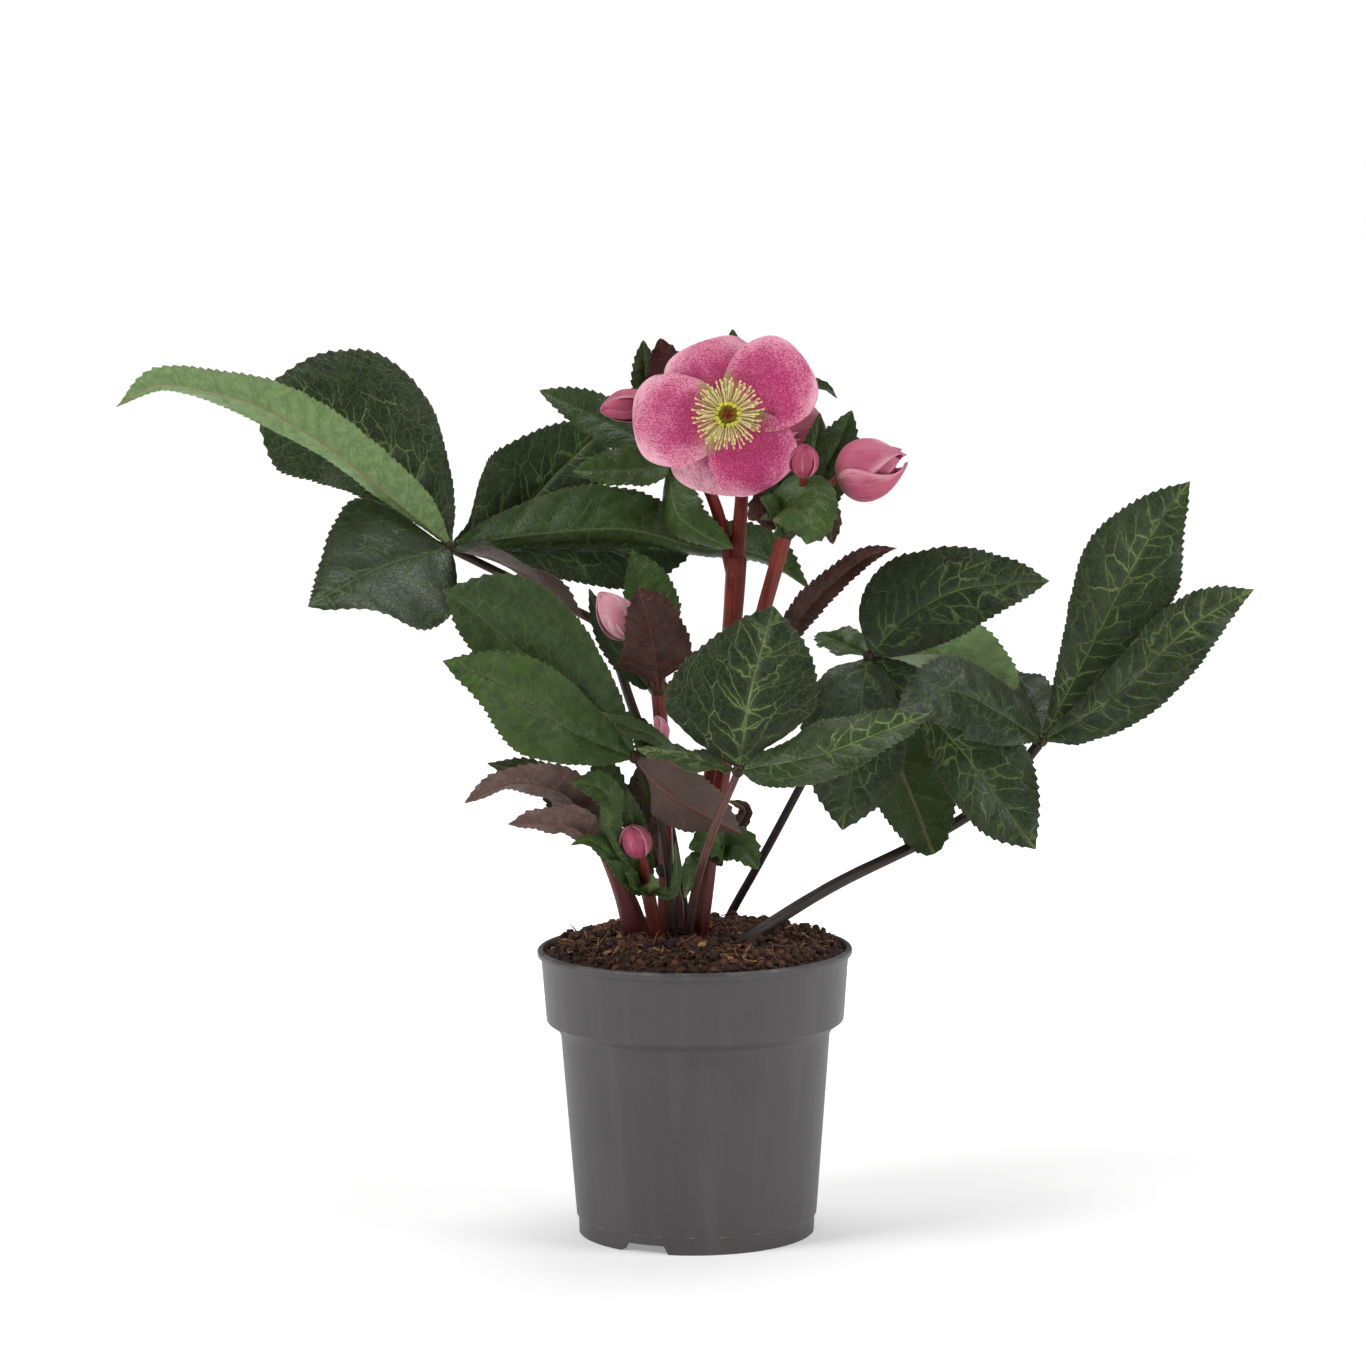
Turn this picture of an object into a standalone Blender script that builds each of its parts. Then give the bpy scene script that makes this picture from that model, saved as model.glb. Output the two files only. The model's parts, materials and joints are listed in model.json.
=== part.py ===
"""Hellebore plant in its plastic pot, standing on the floor.

Lengths are written in millimetres and turned into metres when a mesh is made.
The origin is on the pot's axis at the floor, +Z is up and the plant's front looks along -Y.
"""
import math

import bmesh
import bpy
import numpy as np
from mathutils import Vector, noise

MM = 0.001
GAP = 0.3
SOLVERS = ("EXACT", "MANIFOLD")
COLLAR_WALL = 1.8
COLLAR_HEIGHT = 4.0
LEAF_THICK = 0.8
PETAL_THICK = 0.8
STEM_SIDES = 6

# Pot: radius and height of each corner of its outside, from the foot up to the rim, then its inside.
POT_SEGMENTS = 32
POT_OUTSIDE = [
    (63.8, 0.0), (63.9, 8.6), (65.0, 9.6), (72.6, 108.0), (74.2, 111.6), (80.2, 115.8), (82.8, 149.8),
    (84.9, 151.4), (84.9, 154.0), (83.8, 155.0),
]
POT_INSIDE = [(82.0, 155.0), (81.2, 152.6), (78.7, 117.2), (71.2, 107.8), (62.6, 8.0)]
POT_UNDERSIDE = [(62.0, 6.0), (62.2, 0.0)]
FLOOR_TOP = 8.0
DRAIN_HOLES = 6
DRAIN_RADIUS = 4.0
DRAIN_CIRCLE = 50.0
NOTCH_WIDTH = 24.0
NOTCH_HEIGHT = 4.6
NOTCH_TURN = -116.0

# Growing mix: its surface rises from the pot wall to the crown.
MIX_AT_WALL = 152.6
MIX_AT_CROWN = 162.0
MIX_RINGS = 5

# Directions in which a blade's upper face looks.
FRONT = (0.0, -1.0, 0.1)
UP_FRONT = (0.0, -0.8, 0.6)

# Where along a leaflet its half widths are given, from its foot to its tip.
WIDTH_AT = (0.0, 0.12, 0.3, 0.48, 0.66, 0.84, 1.0)

for old in list(bpy.data.objects):
    bpy.data.objects.remove(old, do_unlink=True)


def unit(v):
    v = np.asarray(v, float)
    return v / max(np.linalg.norm(v), 1e-9)


def smooth_line(points, count):
    """A smooth line through the points, in equal steps."""
    p = np.array(points, float)
    p = np.vstack([2 * p[0] - p[1], p, 2 * p[-1] - p[-2]])
    fine = []
    for i in range(1, len(p) - 2):
        a, b, c, d = p[i - 1:i + 3]
        for u in np.linspace(0, 1, 20, endpoint=False):
            fine.append(0.5 * (2 * b + (c - a) * u + (2 * a - 5 * b + 4 * c - d) * u**2
                               + (3 * b - a - 3 * c + d) * u**3))
    fine.append(p[-2])
    fine = np.array(fine)
    run = np.concatenate([[0], np.cumsum(np.linalg.norm(np.diff(fine, axis=0), axis=1))])
    at = np.linspace(0, run[-1], count)
    return np.stack([np.interp(at, run, fine[:, k]) for k in range(3)], 1)


def tangents(line):
    t = np.gradient(line, axis=0)
    return t / np.linalg.norm(t, axis=1)[:, None]


def mesh_object(name, verts, faces, origin=(0.0, 0.0, 0.0)):
    """An object from points in mm, with its origin at the given point."""
    mesh = bpy.data.meshes.new(name)
    shift = np.asarray(origin, float)
    mesh.from_pydata([tuple((np.asarray(v) - shift) * MM) for v in verts], [], faces)
    bm = bmesh.new()
    bm.from_mesh(mesh)
    bmesh.ops.triangulate(bm, faces=bm.faces)
    bmesh.ops.recalc_face_normals(bm, faces=bm.faces)
    if bm.calc_volume(signed=True) < 0:
        bmesh.ops.reverse_faces(bm, faces=bm.faces)
    bm.to_mesh(mesh)
    bm.free()
    ob = bpy.data.objects.new(name, mesh)
    ob.location = Vector(shift * MM)
    bpy.context.scene.collection.objects.link(ob)
    return ob


def section(half, fold, curl, v):
    """Sideways and upward travel across a half blade that leaves the midrib at an angle and rolls on."""
    a = math.radians(fold)
    c = math.radians(curl)
    if abs(c) < 1e-4:
        return half * v * math.cos(a), half * v * math.sin(a)
    return half * (math.sin(a + c * v) - math.sin(a)) / c, half * (math.cos(a) - math.cos(a + c * v)) / c


def blade(points, face, width=0.0, left=None, right=None, fold=(18, 18), curl=(-20, -20), widest=0.42,
          blunt=1.5, rows=6, cols=2, tooth=1.6, wave=1.5, waves=2.5, phase=0.0, foot=1.6, tip_face=None,
          thick=LEAF_THICK, even=True):
    """A toothed, folded and waved blade along its midrib; returns a closed shell as points and triangles.

    Its outline is a width and where it is widest, or else the half widths of its left and right sides.
    Fold is the angle at which each side leaves the midrib and curl how far it rolls on, in degrees."""
    count = rows + 1
    steps = np.linspace(0, 1, count)
    if not even:
        steps = (1 - np.cos(math.pi * steps)) / 2
    line = smooth_line(points, 121)
    direction = tangents(line)
    tip_face = face if tip_face is None else tip_face
    sides = []
    for given in (left, right):
        if given:
            sides.append(smooth_line([(a, b, 0.0) for a, b in zip(WIDTH_AT, (foot, *given, 0.0))], 121))

    def frame(t):
        k = t * 120
        i = min(int(k), 119)
        m = line[i] + (line[i + 1] - line[i]) * (k - i)
        d = unit(direction[i] + (direction[i + 1] - direction[i]) * (k - i))
        f = unit(np.asarray(face) * (1 - t) + np.asarray(tip_face) * t)
        n = unit(f - np.dot(f, d) * d)
        return m, n, np.cross(d, n)

    def half_width(t, side):
        if sides:
            return float(np.interp(t, sides[side][:, 0], sides[side][:, 1]))
        if t <= 0 or t >= 1:
            shape = 0.0
        else:
            shape = (t / widest) ** (blunt * widest) * ((1 - t) / (1 - widest)) ** (blunt * (1 - widest))
        return width / 2 * shape + foot * (1 - t) ** 4

    def place(t, side, v, extra=0.0):
        m, n, s = frame(t)
        half = half_width(t, side)
        x, z = section(half, fold[side], curl[side], v)
        sign = 2 * side - 1
        if v > 0:
            reach = 1 + extra / max(math.hypot(x, z), 1e-6) * min(1.0, half / 6)
            x, z = x * reach, z * reach
            z += wave * v * v * min(1.0, half / 8) * math.sin(2 * math.pi * waves * t + phase + 2.1 * side)
        return m + s * sign * x + n * z

    verts = []
    rib = []
    inner = [[], []]
    edge = [[], []]
    for i in range(rows):
        t = steps[i]
        mid = steps[i] * 0.42 + steps[i + 1] * 0.58
        rib.append(len(verts))
        verts.append(place(t, 0, 0))
        for side in (0, 1):
            if cols > 1:
                inner[side].append(len(verts))
                verts.append(place(t, side, 0.52))
            edge[side].append(len(verts))
            verts.append(place(t, side, 1.0))
            if tooth:
                edge[side].append(len(verts))
                verts.append(place(mid, side, 1.0, tooth))
    tip = len(verts)
    verts.append(place(1.0, 0, 0))
    faces = []
    for side in (0, 1):
        for i in range(rows):
            last = i == rows - 1
            edge_row = (edge[side] + [tip])[(2 * i if tooth else i):(2 * i + 3 if tooth else i + 2)]
            r0, r1 = rib[i], tip if last else rib[i + 1]
            near0, near1 = (r0, r1) if cols < 2 else (inner[side][i], tip if last else inner[side][i + 1])
            fan = [(edge_row[0], edge_row[1], near0)] if tooth else []
            if last:
                fan.append((edge_row[-2], tip, near0))
            else:
                fan += [(edge_row[-2], edge_row[-1], near1), (edge_row[-2], near1, near0)]
            if cols > 1:
                fan += [(near0, tip, r0)] if last else [(near0, near1, r1), (near0, r1, r0)]
            faces += fan if side == 0 else [f[::-1] for f in fan]
    return shell(np.array(verts), faces, thick)


def shell(verts, faces, thick):
    """Gives a surface of triangles its thickness, split alike on both faces."""
    tri = verts[np.array(faces)]
    cross = np.cross(tri[:, 1] - tri[:, 0], tri[:, 2] - tri[:, 0])
    normal = np.zeros_like(verts)
    for k in range(3):
        np.add.at(normal, np.array(faces)[:, k], cross)
    normal /= np.maximum(np.linalg.norm(normal, axis=1), 1e-9)[:, None]
    n = len(verts)
    points = np.vstack([verts + normal * thick / 2, verts - normal * thick / 2])
    solid = [tuple(f) for f in faces] + [tuple(n + k for k in f[::-1]) for f in faces]
    seen = {}
    for f in faces:
        for a, b in ((f[0], f[1]), (f[1], f[2]), (f[2], f[0])):
            seen[(a, b)] = True
    for a, b in seen:
        if (b, a) not in seen:
            solid += [(b, a, n + a), (b, n + a, n + b)]
    return points, solid


def tube(points, radii, sides=STEM_SIDES, step=24.0, more=0.0):
    """A round stalk through the points; its radius runs through the given values at equal spacing."""
    rough = smooth_line(points, 60)
    length = np.linalg.norm(np.diff(rough, axis=0), axis=1).sum()
    count = max(3, int(length / step) + 1)
    line = smooth_line(points, count)
    d = tangents(line)
    x = unit(np.cross(d[0], (0.31, 0.87, 0.2)))
    where = np.linspace(0, 1, count)
    radius = np.interp(where, np.linspace(0, 1, len(radii)), radii) + more
    verts = []
    for i in range(count):
        x = unit(x - np.dot(x, d[i]) * d[i])
        y = np.cross(d[i], x)
        for k in range(sides):
            a = 2 * math.pi * k / sides
            verts.append(line[i] + radius[i] * (math.cos(a) * x + math.sin(a) * y))
    verts.append(line[0] - d[0] * radius[0] * 0.25)
    verts.append(line[-1] + d[-1] * radius[-1] * 0.25)
    first, last = len(verts) - 2, len(verts) - 1
    faces = []
    for i in range(count - 1):
        for k in range(sides):
            a, b = i * sides + k, i * sides + (k + 1) % sides
            faces.append((a, b, b + sides, a + sides))
    top = (count - 1) * sides
    for k in range(sides):
        faces.append((first, (k + 1) % sides, k))
        faces.append((last, top + k, top + (k + 1) % sides))
    return np.array(verts), faces


def knob(centre, radius):
    """A small rounded knuckle."""
    bm = bmesh.new()
    bmesh.ops.create_icosphere(bm, subdivisions=1, radius=1.0)
    verts = [np.array(v.co) * radius + np.array(centre) for v in bm.verts]
    faces = [tuple(v.index for v in f.verts) for f in bm.faces]
    bm.free()
    return np.array(verts), faces


def turned(profile, segments, close=False):
    """A profile of (radius, height) pairs turned round the Z axis; a pair at radius 0 closes an end."""
    verts = []
    rings = []
    for r, z in profile:
        if r < 1e-6:
            rings.append([len(verts)])
            verts.append((0.0, 0.0, z))
        else:
            rings.append(list(range(len(verts), len(verts) + segments)))
            for k in range(segments):
                a = 2 * math.pi * (k + 0.5) / segments
                verts.append((r * math.cos(a), r * math.sin(a), z))
    faces = []
    pairs = list(zip(rings, rings[1:]))
    if close:
        pairs.append((rings[-1], rings[0]))
    for a, b in pairs:
        if len(a) + len(b) == 2:
            continue
        for k in range(segments):
            k1 = (k + 1) % segments
            if len(a) == 1:
                faces.append((a[0], b[k1], b[k]))
            elif len(b) == 1:
                faces.append((a[k], a[k1], b[0]))
            else:
                faces.append((a[k], a[k1], b[k1], b[k]))
    return np.array(verts), faces


def closed(mesh):
    """True where every edge of a mesh belongs to two faces."""
    bm = bmesh.new()
    bm.from_mesh(mesh)
    whole = all(len(edge.link_faces) == 2 for edge in bm.edges)
    bm.free()
    return whole


def drop_crumbs(mesh, least=20):
    """Takes away the loose scraps of a few faces that a cut can leave."""
    bm = bmesh.new()
    bm.from_mesh(mesh)
    left = set(bm.verts)
    scraps = []
    while left:
        island = [left.pop()]
        for vert in island:
            for edge in vert.link_edges:
                other = edge.other_vert(vert)
                if other in left:
                    left.remove(other)
                    island.append(other)
        if len(island) < least and len(island) < len(bm.verts) / 2:
            scraps += island
    bmesh.ops.delete(bm, geom=scraps, context="VERTS")
    bm.to_mesh(mesh)
    bm.free()


def boolean(ob, parts, operation):
    """One Boolean of an object with a collection of others, applied; the others are then removed."""
    if not parts:
        return ob
    group = bpy.data.collections.new("group")
    bpy.context.scene.collection.children.link(group)
    for part in parts:
        for user in list(part.users_collection):
            user.objects.unlink(part)
        group.objects.link(part)
    mod = ob.modifiers.new("join", "BOOLEAN")
    mod.operation = operation
    mod.operand_type = "COLLECTION"
    mod.collection = group
    for solver in SOLVERS:
        mod.solver = solver
        bpy.context.view_layer.update()
        done = bpy.data.meshes.new_from_object(ob.evaluated_get(bpy.context.evaluated_depsgraph_get()))
        if closed(done):
            break
    ob.modifiers.clear()
    ob.data = done
    for part in list(group.objects):
        bpy.data.objects.remove(part, do_unlink=True)
    bpy.data.collections.remove(group)
    return ob


def fused(name, shapes, origin, cut=()):
    """One body from several closed shapes, cut clear of the stalks that pass through it."""
    parts = [mesh_object(f"{name}.{i}", v, f, origin) for i, (v, f) in enumerate(shapes)]
    ob = parts[0]
    ob.name = name
    boolean(ob, parts[1:], "UNION")
    cutters = [mesh_object(f"{name}.cut{i}", v, f, origin) for i, (v, f) in enumerate(cut)]
    boolean(ob, cutters, "DIFFERENCE")
    drop_crumbs(ob.data)
    return ob


def material(name, colour, rough, metal=0.0):
    mat = bpy.data.materials.get(name)
    if mat is None:
        mat = bpy.data.materials.new(name)
        mat.use_nodes = True
        shader = mat.node_tree.nodes["Principled BSDF"]
        shader.inputs["Base Color"].default_value = (*colour, 1.0)
        shader.inputs["Roughness"].default_value = rough
        shader.inputs["Metallic"].default_value = metal
        mat.diffuse_color = (*colour, 1.0)
    return mat


def finish(ob, mat, smooth=False, angle=35.0):
    ob.data.materials.clear()
    ob.data.materials.append(mat)
    if smooth:
        ob.data.shade_smooth()
        ob.data.set_sharp_from_angle(angle=math.radians(angle))
    return ob


GREY_PLASTIC = material("pot_plastic", (0.10, 0.095, 0.098), 0.45)
PEAT = material("growing_mix", (0.055, 0.022, 0.012), 0.95)
DARK_LEAF = material("dark_leaf", (0.022, 0.045, 0.022), 0.45)
MID_LEAF = material("mid_leaf", (0.04, 0.09, 0.02), 0.5)
DARK_RED = material("dark_red_bract", (0.05, 0.012, 0.012), 0.5)
GREEN_BRACT = material("green_bract", (0.05, 0.12, 0.025), 0.5)
PURPLE_BRACT = material("purple_bract", (0.19, 0.12, 0.105), 0.6)
STALK = material("dark_stalk", (0.03, 0.02, 0.018), 0.5)
BROWN_STALK = material("brown_stalk", (0.12, 0.06, 0.045), 0.5)
RED_STEM = material("red_stem", (0.26, 0.04, 0.032), 0.4)
SHEATH = material("crown_sheath", (0.16, 0.07, 0.06), 0.6)
PINK = material("pink_sepal", (0.6, 0.11, 0.22), 0.55)
DEEP_PINK = material("deep_pink_bud", (0.45, 0.04, 0.09), 0.5)
PALE_PINK = material("pale_pink_bud", (0.62, 0.28, 0.27), 0.5)
CREAM = material("stamen_cream", (0.75, 0.6, 0.25), 0.6)
YELLOW = material("nectary_yellow", (0.72, 0.66, 0.06), 0.4)
CARPEL = material("carpel_red", (0.33, 0.06, 0.02), 0.5)

# Stems and stalks: points from below the surface of the mix to the end, and radii along them.
STEMS = {
    "stem_tall": ([(3, 5, 141), (3, 5, 158), (9, 4, 234), (17, 4, 288), (21, 4, 324), (24, 4, 364)],
                  (4.4, 4.8, 5.4, 5.0, 5.2, 5.6)),
    "stem_right": ([(3.5, -9, 141), (3.5, -9, 163), (7.6, -10, 199), (11, -10, 224), (20, -12, 271),
                    (29, -12, 305), (38, -12, 338), (48, -14, 373), (55, -16, 398)],
                   (4.0, 4.4, 4.2, 4.0, 4.0, 4.4)),
    "stem_mid": ([(-15, -5, 141), (-15, -5, 161), (-15, -9, 209), (-16, -13, 258), (-18, -15, 291),
                  (-19, -16, 309)], (5.6, 4.6, 3.4, 3.6, 4.2)),
    "stem_low": ([(-27, -2, 141), (-30, -4, 158), (-38, -8, 186), (-47, -12, 209), (-53, -14, 224)],
                 (7.4, 7.2, 5.4, 4.4, 3.6)),
    "stalk_left": ([(-4, 18, 141), (-4, 17, 160), (-16, 14, 233), (-33, 13, 285), (-47, 14, 324),
                    (-67, 15, 338), (-92, 15, 351), (-127, 14.2, 368.6)], (2.8, 2.7, 2.6, 2.6, 2.4, 2.2)),
    "stalk_green": ([(-11, -18, 141), (-11, -18, 160), (-15, -21, 210), (-21, -26, 241), (-29.2, -35.6, 260)],
                    (2.3, 2.2, 2.1, 2.1)),
    "stalk_front": ([(-4, -14, 141), (-4, -14, 160), (1, -36, 194), (10, -70, 228), (22, -93, 260.2)],
                    (2.4, 2.3, 2.1, 2.0)),
    "stalk_back": ([(12, 64, 141), (19, 62, 160), (37, 58, 193), (58, 52, 233), (79, 48, 274), (93, 45, 302)],
                   (2.5, 2.4, 2.3, 2.2)),
    "stalk_right": ([(2, -32, 147), (21, -27, 159), (73, 14, 184), (131, 58, 205), (167, 60, 228),
                     (188.7, 49.1, 256.4)], (3.6, 3.4, 3.3, 3.2, 3.0)),
}
LOOK = {"stem_tall": RED_STEM, "stem_right": RED_STEM, "stem_mid": RED_STEM, "stem_low": RED_STEM,
        "stalk_left": STALK, "stalk_green": STALK, "stalk_front": BROWN_STALK, "stalk_back": STALK,
        "stalk_right": STALK}
# Side branches, each fused to its stem: points and radii.
BRANCHES = {
    "stem_tall": {
        "fork_right": ([(23, 4, 352), (27, 6, 399), (26, 8, 422), (21, -4, 438), (19.2, -15, 441.7)],
                       (4.6, 4.0, 3.4, 2.8, 2.4)),
        "fork_left": ([(23, 4, 352), (13, 8, 392), (2, 13, 411), (-17, 16, 416)], (4.2, 3.6, 3.2, 3.2)),
        "bud_stalk": ([(-14, 16, 414), (-18, 15, 430), (-22, 6, 448.5)], (3.0, 2.4, 2.2)),
        "back_stalk": ([(26, 8, 412), (33, 13, 419), (41, 17.8, 423.4)], (2.4, 2.2, 2.0)),
    },
    "stem_right": {
        "red_bud_stalk": ([(54, -16, 392), (58, -27, 400), (59, -36, 411.5)], (2.4, 2.2, 2.0)),
        "rose_stalk": ([(52, -15, 388), (65, -20, 399), (78, -22.2, 409.3)], (2.4, 2.2, 2.0)),
    },
    "stem_mid": {
        "mid_bud_stalk": ([(-18, -15, 290), (-23, -20, 308), (-31.5, -24.2, 325.6)], (2.0, 1.8, 1.6)),
        "tiny_bud_stalk": ([(-16, -13, 256), (-15, -18, 262), (-15.4, -26.3, 272)], (1.4, 1.4, 1.3)),
    },
}
SHOOTS = {
    "shoot_low": ([(-19, -21, 141), (-20, -21, 161), (-24, -26, 185), (-28, -32, 210)],
                  (3.4, 3.4, 3.6, 2.8), RED_STEM),
    "crown_sheath": ([(-10, 7, 141), (-10, 7, 160), (-10, 6, 178), (-12, 4, 196)],
                     (4.8, 4.8, 4.2, 1.8), SHEATH),
}


def stem_shapes(name, more=0.0):
    points, radii = STEMS[name]
    shapes = [tube(points, radii, more=more)]
    for p, r in BRANCHES.get(name, {}).values():
        shapes.append(tube(p, r, sides=6, step=18.0, more=more))
    return shapes


# Leaves: colour, hub, its radius, the stalks it is kept clear of, and for each leaflet the points that its
# midrib runs to, its width and how it is held.
LEAVES = {
    "leaf_left": (DARK_LEAF, (-129, 15, 371), 4.2, ["stalk_left"], [
        dict(to=[(-171, 12, 407), (-198, 6, 429), (-228, -4, 448), (-258, -12, 458), (-283, -16, 461),
                 (-304, -12, 449)],
             left=(13, 18, 17, 15, 9), right=(4, 9, 13, 14, 9),
             face=(0.1, 0.85, 0.5), tip_face=(0.0, 0.7, 0.7), fold=(10, 10), curl=(15, 15), rows=7),
        dict(to=[(-148, 32, 399), (-174, 42, 423), (-204, 46, 438), (-237, 44, 450)],
             left=(9, 21, 28, 32, 32), right=(11, 26, 42, 48, 32),
             face=(0.1, -1, 0.2), fold=(16, 14), curl=(-10, -40), phase=1.0),
        dict(to=[(-159, -12, 365), (-181, -30, 356), (-201, -55, 346)],
             left=(24, 44, 50, 40, 18), right=(28, 46, 38, 22, 9),
             face=(-0.2, -0.8, 0.45), fold=(14, 14), curl=(-22, -25), phase=2.0),
        dict(to=[(-102, -8, 365), (-80, -18, 352), (-56, -22, 334)],
             left=(9, 14, 15, 12, 7), right=(8, 14, 15, 12, 7),
             face=(0.2, -0.8, 0.6), tip_face=(0.8, 0.5, 0.3), fold=(15, 20), curl=(-20, 25)),
        dict(to=[(-94, 34, 388), (-71, 42, 410), (-44, 48, 434)],
             left=(8, 26, 32, 26, 17), right=(8, 16, 24, 26, 17),
             face=(0.2, -0.9, 0.3), fold=(16, 12), curl=(-15, -20), phase=0.4),
        dict(to=[(-75, 20, 369), (-36, 24, 369), (5, 30, 370)],
             left=(8, 21, 28, 27, 16), right=(5, 11, 18, 23, 16),
             face=(0, -0.9, 0.4), fold=(12, 10), curl=(-15, -25), phase=3.0),
        dict(to=[(-86, 6, 378), (-36, 3, 381), (3, 16, 370), (38, 30, 364), (65, 34, 344)],
             left=(13, 23, 20, 16, 13), right=(8, 14, 14, 12, 8),
             face=(0, -0.75, 0.65), fold=(10, -70), curl=(25, -60), phase=1.4, rows=8),
    ]),
    "leaf_green": (MID_LEAF, (-31, -38, 263), 4.2, ["stalk_green", "stem_mid"], [
        dict(to=[(-49, -42, 286), (-70, -45, 305), (-94, -46, 324), (-114, -45, 341), (-131, -44, 353)],
             left=(10, 16, 18, 18, 13), right=(9, 20, 30, 34, 26),
             face=(-0.1, -1, 0.25), fold=(10, 14), curl=(-12, -20), phase=0.8),
        dict(to=[(-56, -52, 275), (-71, -60, 285), (-99, -68, 306), (-130, -74, 319)],
             left=(9, 17, 25, 21, 11), right=(10, 18, 21, 19, 11),
             face=(-0.1, -0.9, 0.4), fold=(12, 12), curl=(-15, -18), phase=2.2),
        dict(to=[(-16, -54, 248), (3, -52, 236), (25, -38, 222)],
             left=(10, 19, 21, 17, 9), right=(8, 15, 17, 14, 8),
             face=(-0.3, 0.8, 0.6), fold=(12, 12), curl=(10, 30), phase=0.5, rows=5),
    ]),
    "leaf_front": (DARK_LEAF, (23, -95, 263), 4.2, ["stalk_front"], [
        dict(to=[(26, -92, 281), (30, -86, 304), (42, -72, 346)],
             left=(25, 42, 39, 29, 16), right=(10, 28, 34, 30, 19),
             face=(0, -1, 0.25), fold=(12, 10), curl=(-20, -15), phase=0.6),
        dict(to=[(-2, -106, 271), (-29, -112, 277)], left=(6, 15, 19, 18, 12), right=(9, 12, 10, 8, 6),
             face=(0, -0.35, 0.95), fold=(14, 10), curl=(-10, -10), phase=2.4),
        dict(to=[(62, -108, 272), (86, -106, 280), (122, -94, 292)],
             left=(10, 18, 19, 16, 9), right=(13, 22, 17, 14, 8),
             face=(0, -0.55, 0.85), fold=(16, 8), curl=(-10, -20), phase=1.1),
    ]),
    "leaf_back": (DARK_LEAF, (96, 42, 307), 4.2, ["stalk_back"], [
        dict(to=[(116, 36, 328), (142, 31, 343), (168, 32, 347), (194, 36, 348)],
             left=(20, 31, 26, 20, 11), right=(14, 22, 24, 19, 10),
             face=(-0.1, -0.9, 0.35), fold=(16, 12), curl=(-15, -20), phase=0.2),
        dict(to=[(92, 26, 290), (88, 12, 262), (80, 4, 217)],
             left=(13, 21, 26, 25, 16), right=(17, 28, 31, 27, 16),
             face=(0.05, -0.95, 0.2), fold=(12, 16), curl=(-20, -20), phase=1.9),
        dict(to=[(84, 62, 312), (70, 82, 316)], width=26,
             face=(0, -0.5, 0.85), widest=0.45, phase=0.9, rows=4, cols=1),
        dict(to=[(139, 60, 306), (179, 68, 286)], width=48,
             face=(0.1, 0.7, 0.7), fold=(10, 10), curl=(10, 10), widest=0.5, phase=2.8, rows=5, cols=1),
        dict(to=[(131, 30, 273), (154, 23, 246), (185, 16, 204)],
             left=(12, 22, 27, 29, 18), right=(7, 12, 16, 21, 17),
             face=(0.1, -0.95, 0.3), fold=(10, 16), curl=(-18, -20), phase=1.2),
        dict(to=[(108, 52, 261), (121, 44, 227), (131, 34, 199)], width=48,
             face=(0.2, 0.9, 0.3), fold=(10, 10), curl=(12, 12), widest=0.55, blunt=1.3, phase=0.1, cols=1),
    ]),
    "leaf_right": (DARK_LEAF, (191, 50, 259), 4.2, ["stalk_right"], [
        dict(to=[(166, 18, 278), (138, -4, 293), (108, -28, 285)],
             left=(7, 16, 23, 27, 20), right=(8, 14, 17, 19, 12),
             face=(0, -0.85, 0.5), fold=(12, 14), curl=(-20, -10), phase=0.7),
        dict(to=[(206, 54, 286), (223, 58, 318), (240, 62, 350), (257, 68, 377), (274, 72, 399)],
             left=(6, 15, 23, 28, 17), right=(9, 18, 24, 27, 14),
             face=(0.1, -1, 0.15), fold=(14, 14), curl=(-18, -15), phase=2.6, rows=8),
        dict(to=[(214, 42, 273), (238, 36, 292), (265, 40, 317), (288, 46, 332), (307, 52, 341)],
             left=(6, 11, 14, 16, 12), right=(11, 18, 20, 18, 9),
             face=(0.0, -0.95, 0.3), fold=(14, 12), curl=(-15, -18), phase=1.6, rows=8),
        dict(to=[(186, 86, 277), (177, 124, 290)], width=34,
             face=(0, -0.3, 0.95), widest=0.5, phase=0.3, rows=5, cols=1),
    ]),
}

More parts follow.
